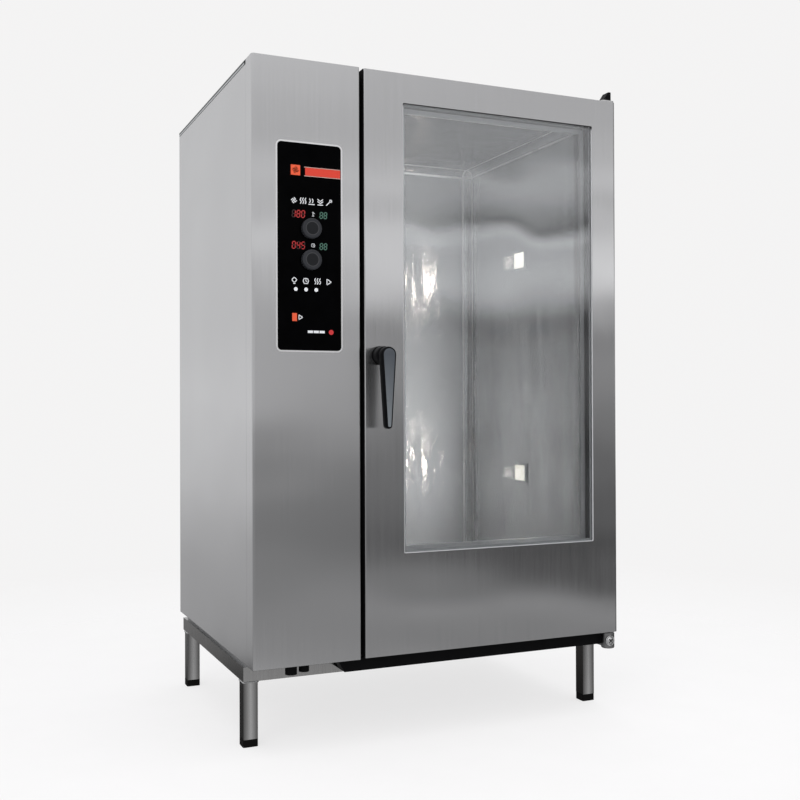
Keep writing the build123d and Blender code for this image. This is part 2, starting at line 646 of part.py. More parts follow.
def control_knob(z):
    y0 = FRONT - 1.7
    y1 = FRONT - 17
    knob = rod_y(KNOB_X, z, KNOB_R, y1, y0)
    knob = fillet(knob.edges().group_by(Axis.Y)[0], 3)
    reach = KNOB_R + KNOB_FLUTE_R - 1
    for turn in range(KNOB_FLUTES):
        angle = 2 * math.pi * turn / KNOB_FLUTES
        knob -= rod_y(KNOB_X + reach * math.cos(angle), z + reach * math.sin(angle),
                      KNOB_FLUTE_R, y1 + 4, y0)
    return knob + rod_y(KNOB_X, z, KNOB_SHAFT_R, y0 - 1, FRONT + 11.5)


# ---------------------------------------------------------------- fans and heat
def fan_motors():
    motors = []
    for z in FAN_Z:
        flange = block(BULKHEAD - 4, BULKHEAD, CAVITY_MID_Y - 75, CAVITY_MID_Y + 75, z - 75, z + 75)
        body = rod_x(CAVITY_MID_Y, z, 68, BULKHEAD - 150, BULKHEAD - 4)
        body += rod_x(CAVITY_MID_Y, z, 60, BULKHEAD - 180, BULKHEAD - 150)
        motor = flange + body
        motors.append(motor - rod_x(CAVITY_MID_Y, z, SHAFT_R + RUNNING, BULKHEAD - 42, BULKHEAD))
    return group(motors)


def fan_impeller(z):
    """Centrifugal wheel on its shaft; it turns about X."""
    x0 = CAVITY_LEFT + 14
    x1 = BAFFLE_X - 14
    wheel = rod_x(CAVITY_MID_Y, z, FAN_R, x0, x0 + 2) + rod_x(CAVITY_MID_Y, z, 24, x0, x0 + 34)
    rim = rod_x(CAVITY_MID_Y, z, FAN_R, x1 - 2, x1) - rod_x(CAVITY_MID_Y, z, FAN_R - 30, x1 - 2, x1)
    wheel += rim
    for turn in range(BLADES):
        blade = Pos(0, 0, FAN_R - 17) * Rot(35, 0, 0) * Box(x1 - x0, 1.6, 30)
        wheel += Pos((x0 + x1) / 2, CAVITY_MID_Y, z) * Rot(360 * turn / BLADES, 0, 0) * blade
    return wheel + rod_x(CAVITY_MID_Y, z, SHAFT_R, BULKHEAD - 40, x0 + 30)


def heating_elements():
    """Three tube rings round each fan, joined by a pair of terminals."""
    elements = []
    for z in FAN_Z:
        element = None
        for x in (CAVITY_LEFT + 20, CAVITY_LEFT + 39, CAVITY_LEFT + 58):
            ring = Pos(x, CAVITY_MID_Y, z) * Rot(0, 90, 0) * Torus(RING_R, RING_TUBE_R)
            element = ring if element is None else element + ring
        for offset in (-14, 14):
            y = CAVITY_MID_Y + offset
            element += rod_x(y, z + math.sqrt(RING_R ** 2 - offset ** 2), 5, CAVITY_LEFT, CAVITY_LEFT + 60)
        elements.append(element)
    return group(elements)


def fan_baffle():
    y0 = FACE + BAFFLE_INSET
    y1 = CAVITY_BACK - BAFFLE_INSET
    z0 = CAVITY_FLOOR + BAFFLE_INSET - 2
    z1 = CAVITY_ROOF - BAFFLE_INSET + 2
    x1 = BAFFLE_X + BAFFLE_SHEET
    plate = block(BAFFLE_X, x1, y0, y1, z0, z1)
    for z in FAN_Z:
        for row in range(-SLOT_ROWS, SLOT_ROWS + 1):
            reach = math.sqrt(SUCTION_R ** 2 - (row * SLOT_PITCH) ** 2)
            slot_z = z + row * SLOT_PITCH
            plate -= block(BAFFLE_X, x1, CAVITY_MID_Y - reach, CAVITY_MID_Y + reach,
                           slot_z - SLOT_HEIGHT / 2, slot_z + SLOT_HEIGHT / 2)
    for y, z in stud_places():
        plate -= rod_x(y, z, STUD_R + 0.5, BAFFLE_X, x1)
    for y in (y0, y1 - BAFFLE_SHEET):
        plate += block(BAFFLE_X - 26, x1, y, y + BAFFLE_SHEET, z0, z1)
    return plate


def stud_places():
    for y in (FACE + STUD_INSET, CAVITY_BACK - STUD_INSET):
        for z in (CAVITY_FLOOR + STUD_INSET, sum(FAN_Z) / 2, CAVITY_ROOF - STUD_INSET):
            yield y, z


def fasteners():
    """Baffle studs with their nuts, and the screws round the back panel."""
    pieces = []
    for y, z in stud_places():
        stud = rod_x(y, z, STUD_R, CAVITY_LEFT, BAFFLE_X + 12)
        nut = Pos(BAFFLE_X + 5.8, y, z) * Rot(0, 90, 0) * extrude(RegularPolygon(9, 6), amount=4, both=True)
        collar = rod_x(y, z, 9, BAFFLE_X - 8, BAFFLE_X - 0.2)
        pieces.append(stud + nut + collar)
    for x in (-530, -265, 0, 265, 530):
        for z in (CASE_BOTTOM + 30, TOP - 45):
            pieces.append(rod_y(x, z, 4.5, BACK, BACK + 2.5))
    for x in (-530, 530):
        for z in (620, 1000, 1380):
            pieces.append(rod_y(x, z, 4.5, BACK, BACK + 2.5))
    return group(pieces)


# ---------------------------------------------------------------- cavity fittings
def lamp_housings():
    wall = 2.0
    sleeve = LAMP_RIM + 0.2
    x0 = CAVITY_RIGHT - LAMP_RIM
    housings = []
    for z in FAN_Z:
        shell = lamp_block(z, x0, CAVITY_RIGHT, 0) + lamp_block(z, x0, CAVITY_RIGHT + 34, sleeve)
        housings.append(shell - lamp_block(z, x0, CAVITY_RIGHT + 34 - wall, sleeve + wall))
    return group(housings)


def lamp_lenses():
    inset = LAMP_RIM + 2.2
    return group([lamp_block(z, CAVITY_RIGHT - 5, CAVITY_RIGHT - 1, inset) for z in FAN_Z])


def drain_grate():
    grate = rod_z(DRAIN_X, CAVITY_MID_Y, 50, CAVITY_FLOOR, CAVITY_FLOOR + 4)
    for ring, count in ((14, 6), (27, 12), (40, 18)):
        for turn in range(count):
            angle = 2 * math.pi * turn / count
            grate -= rod_z(DRAIN_X + ring * math.cos(angle), CAVITY_MID_Y + ring * math.sin(angle),
                           3.5, CAVITY_FLOOR, CAVITY_FLOOR + 4)
    return grate


def bent_pipe(points, bend, radius, wall):
    path = FilletPolyline(points, radius=bend)
    start = Plane(path @ 0, z_dir=path % 0)
    ring = start * (Circle(radius) - Circle(radius - wall))
    return sweep(ring, path=path)


def drain_pipe():
    """The bent pipe, with a slightly thicker spigot behind the back panel."""
    wall = DRAIN_R - DRAIN_BORE_R
    pipe = bent_pipe([(DRAIN_X, CAVITY_MID_Y, CAVITY_FLOOR), (DRAIN_X, CAVITY_MID_Y, DRAIN_Z),
                      (DRAIN_X, REAR_END, DRAIN_Z)], 30, DRAIN_R - STEP_DOWN, wall - STEP_DOWN)
    spigot = rod_y(DRAIN_X, DRAIN_Z, DRAIN_R, BACK, REAR_END)
    return pipe + (spigot - rod_y(DRAIN_X, DRAIN_Z, DRAIN_BORE_R, BACK, REAR_END))


def trolley_guides():
    pieces = []
    y0 = FACE + 20
    y1 = CAVITY_BACK - 60
    for x in (-110.0, 436.0):
        pieces.append(block(x, x + 14, y0, y1, CAVITY_FLOOR, CAVITY_FLOOR + 14))
    pieces.append(block(-110, 450, y1 + 0.5, y1 + 12, CAVITY_FLOOR, CAVITY_FLOOR + 14))
    return group(pieces)


# ---------------------------------------------------------------- steam, water, air
def steam_generator():
    z0, z1 = BOILER_Z
    tank = rod_z(BOILER_X, STEAM_Y, BOILER_R, z0, z1)
    tank = fillet(tank.edges(), 16)
    hollow = rod_z(BOILER_X, STEAM_Y, BOILER_R - BOILER_WALL, z0 + BOILER_WALL, z1 - BOILER_WALL)
    tank -= fillet(hollow.edges(), 16 - BOILER_WALL)
    tank -= rod_z(BOILER_X, STEAM_Y, STEAM_R - 2, z1 - 10, z1)
    skirt = rod_z(BOILER_X, STEAM_Y, BOILER_R - 20, PAN_TOP, z0 + 8)
    skirt -= rod_z(BOILER_X, STEAM_Y, BOILER_R - 20 - BOILER_WALL, PAN_TOP, z0)
    flange = rod_x(STEAM_Y, 340, 42, BOILER_X - 118, BOILER_X - 90)
    return tank + skirt + flange


def steam_pipe():
    return bent_pipe([(BOILER_X, STEAM_Y, BOILER_Z[1]), (BOILER_X, STEAM_Y, STEAM_Z),
                      (CAVITY_LEFT + 2, STEAM_Y, STEAM_Z)], 45, STEAM_R, 2)


def water_valves():
    valves = []
    for x in INLET_X:
        body = block(x - 18, x + 18, BACK - 66, BACK - RETURN - 1, INLET_Z - 18, INLET_Z + 18)
        coil = rod_z(x, BACK - 46, 15, INLET_Z + 18, INLET_Z + 56)
        neck = rod_y(x, INLET_Z, INLET_R - STEP_DOWN, PAN_BACK, BACK)
        thread = rod_y(x, INLET_Z, INLET_R, BACK, REAR_END)
        valve = body + coil + neck + thread
        valves.append(valve - rod_y(x, INLET_Z, 8, BACK - 40, REAR_END))
    return group(valves)


def cable_gland():
    gland = rod_y(GLAND_X, GLAND_Z, GLAND_R, BACK - 12, BACK + 18)
    nut = Plane((GLAND_X, BACK, GLAND_Z), x_dir=(1, 0, 0), z_dir=(0, 1, 0)) * RegularPolygon(23, 6)
    gland += extrude(nut, amount=8)
    return gland - rod_y(GLAND_X, GLAND_Z, 10, BACK - 12, BACK + 18)


def power_components():
    """Contactors and the supply terminals, carried on the bulkhead."""
    pieces = []
    for index in range(4):
        y = -300 + 52 * index
        case = block(BULKHEAD - 80, BULKHEAD, y, y + 45, 1120, 1205)
        case -= block(BULKHEAD - 80, BULKHEAD - 66, y - 1, y + 46, 1120, 1134)
        case -= block(BULKHEAD - 80, BULKHEAD - 66, y - 1, y + 46, 1191, 1205)
        pieces.append(case)
    pieces.append(block(BULKHEAD - 46, BULKHEAD, 335, 430, 430, 470))
    return group(pieces)


def cooling_fan_frame():
    half = 60.0
    z0 = PAN_TOP
    frame = block(COOLER_X - half, COOLER_X + half, COOLER_Y - half, COOLER_Y + half, z0, z0 + 38)
    frame -= rod_z(COOLER_X, COOLER_Y, COOLER_R, z0, z0 + 38)
    frame += rod_z(COOLER_X, COOLER_Y, 20, z0, z0 + 5)
    for turn in range(4):
        strut = Pos(0, (COOLER_R + 10) / 2 + 4, z0 + 2.5) * Box(5, COOLER_R - 10, 5)
        frame += Pos(COOLER_X, COOLER_Y, 0) * Rot(0, 0, 45 + 90 * turn) * strut
    return frame - rod_z(COOLER_X, COOLER_Y, 3 + RUNNING, z0, z0 + 5)


def cooling_fan_rotor():
    z0 = PAN_TOP + 7
    rotor = rod_z(COOLER_X, COOLER_Y, 20, z0, z0 + 26)
    for turn in range(7):
        blade = Pos(0, (COOLER_R + 12) / 2, 0) * Rot(0, 35, 0) * Box(28, COOLER_R - 16, 1.8)
        rotor += Pos(COOLER_X, COOLER_Y, z0 + 13) * Rot(0, 0, 360 * turn / 7) * blade
    return rotor + rod_z(COOLER_X, COOLER_Y, 3, PAN_TOP, z0)


def vent_pipe():
    """The pipe through the roof, a little thicker where a duct slips over its top."""
    pipe = rod_z(VENT_X, VENT_Y, VENT_R - STEP_DOWN, CAVITY_ROOF, VENT_TOP)
    pipe += rod_z(VENT_X, VENT_Y, VENT_R, VENT_TOP - VENT_SPIGOT, VENT_TOP)
    pipe -= rod_z(VENT_X, VENT_Y, VENT_BORE_R, CAVITY_ROOF, VENT_TOP)
    return pipe - rod_y(VENT_X, FLAP_Z, 3 + RUNNING, VENT_Y - VENT_R - 1, VENT_Y + VENT_R + 1)


def vent_flap():
    disc = rod_z(VENT_X, VENT_Y, VENT_R - 2, FLAP_Z - 1, FLAP_Z + 1)
    return disc + rod_y(VENT_X, FLAP_Z, 3, VENT_Y - VENT_R - 18, VENT_Y + VENT_R + 2)


def vent_actuator():
    y1 = VENT_Y - VENT_R - 6
    case = block(VENT_X - 20, VENT_X + 20, y1 - 44, y1, TOP, VENT_TOP - VENT_SPIGOT - 1)
    return case - rod_y(VENT_X, FLAP_Z, 3 + RUNNING, y1 - 14, y1)


# ---------------------------------------------------------------- all the nodes
def all_nodes():
    nodes = {
        "frame_rails": frame_rails(),
        "frame_legs": frame_legs(),
        "base_pan": base_pan(),
        "left_side_panel": side_panel(-1),
        "right_side_panel": side_panel(1),
        "back_panel": back_panel(),
        "top_cover": top_cover(),
        "column_front_panel": column_front_panel(),
        "column_bulkhead": column_bulkhead(),
        "cavity_front_frame": cavity_front_frame(),
        "cavity_liner": cavity_liner(),
        "insulation": insulation(),
        "cavity_gasket": cavity_gasket(),
        "drip_gutter": drip_gutter(),
        "underside_grommets": underside_grommets(),
        "upper_hinge_bracket": upper_hinge_bracket(),
        "hinge_cap": hinge_cap(),
        "lower_hinge_bracket": lower_hinge_bracket(),
        "hinge_bushings": hinge_bushings(),
        "door_skin": door_skin(),
        "door_inner_frame": door_inner_frame(),
        "door_glass_seal": door_glass_seal(),
        "door_outer_glass": door_outer_glass(),
        "inner_glass": inner_glass(),
        "inner_glass_frame": inner_glass_frame(),
        "handle_rosette": handle_rosette(),
        "handle_lever": handle_lever(),
        "handle_spindle": handle_spindle(),
        "latch_bolt": latch_bolt(),
        "latch_keeper": latch_keeper(),
        "control_bezel": control_bezel(),
        "control_glass": control_glass(),
        "display_board": display_board(),
        "knob_lower": control_knob(KNOB_Z[0]),
        "knob_upper": control_knob(KNOB_Z[1]),
        "fan_motors": fan_motors(),
        "fan_impeller_lower": fan_impeller(FAN_Z[0]),
        "fan_impeller_upper": fan_impeller(FAN_Z[1]),
        "heating_elements": heating_elements(),
        "fan_baffle": fan_baffle(),
        "fasteners": fasteners(),
        "lamp_housings": lamp_housings(),
        "lamp_lenses": lamp_lenses(),
        "drain_grate": drain_grate(),
        "drain_pipe": drain_pipe(),
        "trolley_guides": trolley_guides(),
        "steam_generator": steam_generator(),
        "steam_pipe": steam_pipe(),
        "water_valves": water_valves(),
        "cable_gland": cable_gland(),
        "power_components": power_components(),
        "cooling_fan_frame": cooling_fan_frame(),
        "cooling_fan_rotor": cooling_fan_rotor(),
        "vent_pipe": vent_pipe(),
        "vent_flap": vent_flap(),
        "vent_actuator": vent_actuator(),
    }
    names = ("front_left", "back_left", "front_right", "back_right")
    for name, (x, y) in zip(names, leg_corners()):
        nodes["foot_" + name] = levelling_foot(x, y)
    return nodes


os.makedirs("parts", exist_ok=True)
for node, shape in all_nodes().items():
    export_step(shape, "parts/" + node + ".step")
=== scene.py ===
import json
import math

import bmesh
import bpy
from mathutils import Matrix, Vector


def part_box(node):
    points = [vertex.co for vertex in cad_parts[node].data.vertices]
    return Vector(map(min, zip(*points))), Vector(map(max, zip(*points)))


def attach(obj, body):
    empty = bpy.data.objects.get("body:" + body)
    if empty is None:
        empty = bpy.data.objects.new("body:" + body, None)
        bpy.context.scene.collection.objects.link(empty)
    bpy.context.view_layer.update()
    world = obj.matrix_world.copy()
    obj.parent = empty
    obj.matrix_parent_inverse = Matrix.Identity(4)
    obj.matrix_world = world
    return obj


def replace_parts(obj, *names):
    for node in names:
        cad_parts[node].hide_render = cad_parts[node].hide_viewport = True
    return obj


# Looks of a floor-standing combi steamer oven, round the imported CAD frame.
# Everything is in metres, in the frame's axes: the door faces -Y and the floor is z = 0.

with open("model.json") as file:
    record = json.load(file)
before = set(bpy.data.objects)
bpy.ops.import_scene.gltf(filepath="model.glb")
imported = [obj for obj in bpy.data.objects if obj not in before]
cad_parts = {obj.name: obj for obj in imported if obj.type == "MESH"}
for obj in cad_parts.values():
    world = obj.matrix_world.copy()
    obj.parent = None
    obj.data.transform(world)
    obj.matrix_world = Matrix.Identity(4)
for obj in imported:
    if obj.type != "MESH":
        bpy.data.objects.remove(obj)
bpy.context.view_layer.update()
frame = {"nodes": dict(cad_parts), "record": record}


# ---------------------------------------------------------------- places taken from the frame
def middle(node):
    low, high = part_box(node)
    return (low + high) / 2


GLASS_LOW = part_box("control_glass")[0]
LEVER_LOW, LEVER_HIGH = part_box("handle_lever")
BACK_LOW, BACK_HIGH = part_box("back_panel")
HINGE_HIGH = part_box("upper_hinge_bracket")[1]
LEGS_LOW, LEGS_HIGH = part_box("frame_legs")
LINER_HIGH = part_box("cavity_liner")[1]
SEAL_LOW, SEAL_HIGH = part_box("door_glass_seal")
DOOR_LOW, DOOR_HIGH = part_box("door_skin")
KNUCKLE_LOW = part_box("lower_hinge_bracket")[0]
GUTTER_LOW, GUTTER_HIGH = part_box("drip_gutter")
TOP_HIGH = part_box("top_cover")[1]
LENS_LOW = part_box("lamp_lenses")[0]

TUBE_HALF = 0.020   # half the width of the underframe's square tube


# ---------------------------------------------------------------- mesh helpers
def mesh_from(name, bm):
    bmesh.ops.recalc_face_normals(bm, faces=bm.faces)
    mesh = bpy.data.meshes.new(name)
    bm.to_mesh(mesh)
    bm.free()
    return mesh


def in_scene(name, data):
    """An object of the scene that shows a mesh, a light or a camera."""
    thing = bpy.data.objects.new(name, data)
    bpy.context.scene.collection.objects.link(thing)
    return thing


def new_piece(name, bm, body, slot, material=None, smooth=True):
    """A piece that rides on a CAD body. Without a material of its own it takes its slot's."""
    mesh = mesh_from(name, bm)
    piece = in_scene(name, mesh)
    mesh.materials.append(material or MATERIALS[slot])
    for face in mesh.polygons:
        face.use_smooth = smooth
    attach(piece, body)
    return piece


def full_turn(count):
    """Equal steps round a circle, in radians."""
    return [2 * math.pi * i / count for i in range(count)]


def add_loops(bm, loops):
    """Skins a list of equally long closed loops of points and caps both ends."""
    rings = [[bm.verts.new(point) for point in loop] for loop in loops]
    count = len(rings[0])
    for ring, following in zip(rings, rings[1:]):
        for i in range(count):
            j = (i + 1) % count
            bm.faces.new((ring[i], ring[j], following[j], following[i]))
    bm.faces.new(rings[0])
    bm.faces.new(reversed(rings[-1]))


def stack(bm, layers):
    """Skins (y, outline) layers, whose outlines are lists of (x, z) points."""
    add_loops(bm, [[(x, y, z) for x, z in outline] for y, outline in layers])


def circle_points(x, z, radius, count=24):
    return [(x + radius * math.cos(t), z + radius * math.sin(t)) for t in full_turn(count)]


def stroke(bm, start, end, width, y_front, y_back):
    """A straight bar between two (x, z) points."""
    along = Vector(end) - Vector(start)
    across = Vector((-along.y, along.x)).normalized() * width / 2
    corners = [Vector(start) + across, Vector(start) - across, Vector(end) - across, Vector(end) + across]
    outline = [tuple(corner) for corner in corners]
    stack(bm, [(y_front, outline), (y_back, outline)])


def lathe(bm, place, axis, profile, count=24):
    """Turns a profile of (along, radius) pairs about an axis through place."""
    turn = Vector((0, 0, 1)).rotation_difference(Vector(axis)).to_matrix()
    add_loops(bm, [[turn @ Vector((radius * math.cos(t), radius * math.sin(t), along)) + Vector(place)
                    for t in full_turn(count)] for along, radius in profile])


def strip(bm, low, high):
    """A thin straight strip between two corners."""
    (x0, y0, z0), (x1, y1, z1) = low, high
    add_loops(bm, [[(x0, y0, z), (x1, y0, z), (x1, y1, z), (x0, y1, z)] for z in (z0, z1)])


# ---------------------------------------------------------------- shader helpers
def new_material(name):
    material = bpy.data.materials.new(name)
    material.use_nodes = True
    tree = material.node_tree
    return material, tree, tree.nodes["Principled BSDF"]


def coordinates(tree, kind="Object"):
    return tree.nodes.new("ShaderNodeTexCoord").outputs[kind]


def split_axes(tree, vector):
    split = tree.nodes.new("ShaderNodeSeparateXYZ")
    tree.links.new(vector, split.inputs["Vector"])
    return [split.outputs[axis] for axis in "XYZ"]


def stretched_noise(tree, stretch, scale, detail=4.0, roughness=0.55):
    """Noise in the frame's own axes, stretched by a different amount on each axis."""
    mapping = tree.nodes.new("ShaderNodeMapping")
    mapping.inputs["Scale"].default_value = stretch
    tree.links.new(coordinates(tree), mapping.inputs["Vector"])
    noise = tree.nodes.new("ShaderNodeTexNoise")
    noise.inputs["Scale"].default_value = scale
    noise.inputs["Detail"].default_value = detail
    noise.inputs["Roughness"].default_value = roughness
    tree.links.new(mapping.outputs["Vector"], noise.inputs["Vector"])
    return noise.outputs["Fac"]


def even_noise(tree, scale, detail=4.0, roughness=0.55):
    return stretched_noise(tree, (1, 1, 1), scale, detail, roughness)


def to_range(tree, value, low, high, start=0.3, stop=0.7):
    """Goes from low at start to high at stop. The usual start and stop are those of noise."""
    node = tree.nodes.new("ShaderNodeMapRange")
    node.inputs["From Min"].default_value = start
    node.inputs["From Max"].default_value = stop
    node.inputs["To Min"].default_value = low
    node.inputs["To Max"].default_value = high
    tree.links.new(value, node.inputs["Value"])
    return node.outputs["Result"]


def rise(tree, value, start=0.3, stop=0.7):
    return to_range(tree, value, 0, 1, start, stop)


def maths(tree, operation, first, second=0):
    node = tree.nodes.new("ShaderNodeMath")
    node.operation = operation
    for socket, value in zip(node.inputs, (first, second)):
        if isinstance(value, (int, float)):
            socket.default_value = value
        else:
            tree.links.new(value, socket)
    return node.outputs["Value"]


def vector_maths(tree, operation, vector, other=None):
    node = tree.nodes.new("ShaderNodeVectorMath")
    node.operation = operation
    tree.links.new(vector, node.inputs[0])
    if other is not None:
        node.inputs[1].default_value = other
    return node.outputs["Value" if operation == "LENGTH" else "Vector"]


def distance_from(tree, value, place):
    return maths(tree, "ABSOLUTE", maths(tree, "SUBTRACT", value, place))


def near(tree, value, place, width):
    """1 within half of width of a place along one axis, fading to 0 at width."""
    return to_range(tree, distance_from(tree, value, place), 1, 0, width * 0.5, width)


def weighted(tree, first, share, second):
    """A sum with share of the first value and the rest of the second."""
    parts = [maths(tree, "MULTIPLY", value, part) for value, part in ((first, share), (second, 1 - share))]
    return maths(tree, "ADD", *parts)


def shade(colour, factor, lift=0.0):
    return tuple(min(1, c * factor + lift) for c in colour)


def mix_colours(tree, factor, first, second):
    """Blends two colours. Each is a socket or a tuple."""
    node = tree.nodes.new("ShaderNodeMix")
    node.data_type = "RGBA"
    tree.links.new(factor, node.inputs["Factor"])
    for name, value in (("A", first), ("B", second)):
        if isinstance(value, tuple):
            node.inputs[name].default_value = (*value, 1)
        else:
            tree.links.new(value, node.inputs[name])
    return node.outputs["Result"]


def mix_shaders(tree, factor, first, second):
    node = tree.nodes.new("ShaderNodeMixShader")
    tree.links.new(factor, node.inputs["Fac"])
    tree.links.new(first, node.inputs[1])
    tree.links.new(second, node.inputs[2])
    return node.outputs["Shader"]


def bump_normal(tree, height, strength, distance, normal=None):
    bump = tree.nodes.new("ShaderNodeBump")
    bump.inputs["Strength"].default_value = strength
    bump.inputs["Distance"].default_value = distance
    tree.links.new(height, bump.inputs["Height"])
    if normal is not None:
        tree.links.new(normal, bump.inputs["Normal"])
    return bump.outputs["Normal"]


def add_bump(tree, shader, height, strength, distance, normal=None):
    tree.links.new(bump_normal(tree, height, strength, distance, normal), shader.inputs["Normal"])


def bowed_normal(tree, bow):
    """The surface normal, leaned a little along X, as on a sheet that isn't quite flat."""
    normal = tree.nodes.new("ShaderNodeNewGeometry").outputs["Normal"]
    return vector_maths(tree, "NORMALIZE", vector_maths(tree, "ADD", normal, (bow, 0, 0)))


def brush_upright(tree, shader, anisotropy, rotation=0.0):
    """Stretches highlights across lines that run along Z."""
    shader.inputs["Anisotropic"].default_value = anisotropy
    shader.inputs["Anisotropic Rotation"].default_value = rotation
    tangent = tree.nodes.new("ShaderNodeTangent")
    tangent.direction_type = "RADIAL"
    tangent.axis = "Z"
    tree.links.new(tangent.outputs["Tangent"], shader.inputs["Tangent"])


def paint_over(material, factor, colour):
    """Lays a colour over a material's own wherever factor is 1."""
    tree = material.node_tree
    base = tree.nodes["Principled BSDF"].inputs["Base Color"]
    tree.links.new(mix_colours(tree, factor, base.links[0].from_socket, colour), base)


# ---------------------------------------------------------------- metals
STEEL = (0.60, 0.60, 0.605)
PALE_STEEL = (0.66, 0.66, 0.665)
PLAIN_STEEL = (0.66, 0.66, 0.66)
SHEET = (0.50, 0.51, 0.52)

COVE = 0.027         # radius of the rounded corners inside the cavity
COVE_HIGHLIGHT_WIDTH = 0.0055  # reach of the painted highlight along a cove, to each side


def brushed_metal(name, colour, roughness, anisotropy=0.97, depth=0.05, contrast=0.03, bow=0.0):
    """Upright brushed sheet: fine lines, broader streaks, faint smudges and a sheet's slow waves."""
    material, tree, shader = new_material(name)
    upright = (1.0, 1.0, 0.012)
    fine = stretched_noise(tree, upright, 900.0, 3.0)
    broad = stretched_noise(tree, upright, 110.0)
    smudge = even_noise(tree, 3.2, 5.0, 0.6)
    waves = stretched_noise(tree, (0.7, 0.7, 1.3), 2.4, 1.0)
    lines = weighted(tree, fine, 0.65, broad)
    tint = mix_colours(tree, rise(tree, lines), shade(colour, 1 - contrast), shade(colour, 1 + contrast))
    tree.links.new(tint, shader.inputs["Base Color"])
    shader.inputs["Metallic"].default_value = 1.0
    line_rough = to_range(tree, lines, roughness * 0.9, roughness * 1.12)
    smudge_rough = to_range(tree, smudge, 0.94, 1.1)
    tree.links.new(maths(tree, "MULTIPLY", line_rough, smudge_rough), shader.inputs["Roughness"])
    brush_upright(tree, shader, anisotropy)
    waved = bump_normal(tree, waves, 1.0, 0.004, bowed_normal(tree, bow) if bow else None)
    add_bump(tree, shader, lines, depth, 0.0006, waved)
    return material


def polished_metal(name, colour, roughness, contrast=0.05, metallic=1.0):
    """Plain rolled or machined metal, with cloudy wear."""
    material, tree, shader = new_material(name)
    cloud = even_noise(tree, 14.0, 6.0, 0.6)
    wear = even_noise(tree, 120.0, 3.0)
    tint = mix_colours(tree, rise(tree, cloud), shade(colour, 1 - contrast), colour)
    tree.links.new(tint, shader.inputs["Base Color"])
    shader.inputs["Metallic"].default_value = metallic
    cloudy = weighted(tree, cloud, 0.6, wear)
    tree.links.new(to_range(tree, cloudy, roughness * 0.88, roughness * 1.15), shader.inputs["Roughness"])
    add_bump(tree, shader, wear, 0.04, 0.0004)
    return material


def cavity_metal():
    """Thin mirror-rolled sheet: upright folds, paler walls low down, a roof painted darker as shade and
    painted highlights along the coves.
    """
    material, tree, shader = new_material("cavity_sheet")
    x, y, z = split_axes(tree, coordinates(tree))
    cloud = stretched_noise(tree, (1, 1, 0.5), 9.0, 6.0, 0.6)
    patches = rise(tree, cloud)
    # The walls are paler low down and darker high up.
    low_wall_tone = mix_colours(tree, patches, (0.74, 0.735, 0.74), (0.86, 0.855, 0.855))
    high_wall_tone = mix_colours(tree, patches, (0.40, 0.397, 0.40), (0.50, 0.497, 0.497))
    walls = mix_colours(tree, rise(tree, z, 0.95, 1.45), low_wall_tone, high_wall_tone)
    # The roof is painted darker than the walls, as shade.
    roof = rise(tree, z, LINER_HIGH.z - COVE, LINER_HIGH.z - 0.004)
    tint = mix_colours(tree, roof, walls, (0.15, 0.147, 0.145))
    # Pale, duller bands along the coves are painted highlights, standing in for the lamps' reflection in
    # them.
    cove_highlights = near(tree, z, LINER_HIGH.z - COVE, COVE_HIGHLIGHT_WIDTH)
    for axis, place in ((x, LINER_HIGH.x - COVE), (y, LINER_HIGH.y - COVE)):
        cove_highlights = maths(tree, "MAXIMUM", cove_highlights, near(tree, axis, place, COVE_HIGHLIGHT_WIDTH))
    tree.links.new(mix_colours(tree, cove_highlights, tint, (0.98, 0.96, 0.95)), shader.inputs["Base Color"])
    tree.links.new(to_range(tree, cove_highlights, 0.74, 0.35, 0, 1), shader.inputs["Metallic"])
    cloud_rough = to_range(tree, cloud, 0.10, 0.24)
    cove_highlight_rough = maths(tree, "MULTIPLY", cove_highlights, 0.15)
    tree.links.new(maths(tree, "ADD", cloud_rough, cove_highlight_rough), shader.inputs["Roughness"])
    brush_upright(tree, shader, 0.9, 0.25)
    folds = stretched_noise(tree, (1, 1, 0.22), 8.0, 2.0, 0.5)
    creases = stretched_noise(tree, (1, 1, 0.55), 34.0, 3.0, 0.6)
    add_bump(tree, shader, creases, 1.0, 0.0013, bump_normal(tree, folds, 1.0, 0.010))
    return material


def tube_metal(name, face, flank_shade, edge=0.0):
    """Square tube: scuffed faces, each with painted shade towards its edges as strong as edge, and faces
    that look to -X painted dark as shade.
    """
    material = brushed_metal(name, face, 0.26, 0.7, 0.06, 0.12)
    tree = material.node_tree
    # Painted shade towards the edges of each leg face.
    if edge > 0:
        from_centre = maths(tree, "ABSOLUTE", split_axes(tree, coordinates(tree))[0])
        offset = distance_from(tree, from_centre, LEGS_HIGH.x - TUBE_HALF)
        face_edge_shade = to_range(tree, offset, 0, edge, 0.001, TUBE_HALF - 0.001)
        paint_over(material, face_edge_shade, (0.02, 0.018, 0.017))
    # Painted shade on the faces that look to -X.
    normal = tree.nodes.new("ShaderNodeNewGeometry").outputs["Normal"]
    paint_over(material, to_range(tree, split_axes(tree, normal)[0], 1, 0, -0.7, -0.3), flank_shade)
    return material


def edged_sheet():
    """Top sheet: plain, with a dark green-black line along the top of its folded lip."""
    material = polished_metal("top_sheet_dark_lip_line", SHEET, 0.36, contrast=0.06)
    tree = material.node_tree
    x, _, z = split_axes(tree, coordinates(tree))
    outside = rise(tree, maths(tree, "ABSOLUTE", x), TOP_HIGH.x - 0.0010, TOP_HIGH.x - 0.0006)
    high = rise(tree, z, TOP_HIGH.z - 0.0075, TOP_HIGH.z - 0.0065)
    paint_over(material, maths(tree, "MULTIPLY", outside, high), (0.012, 0.022, 0.018))
    return material


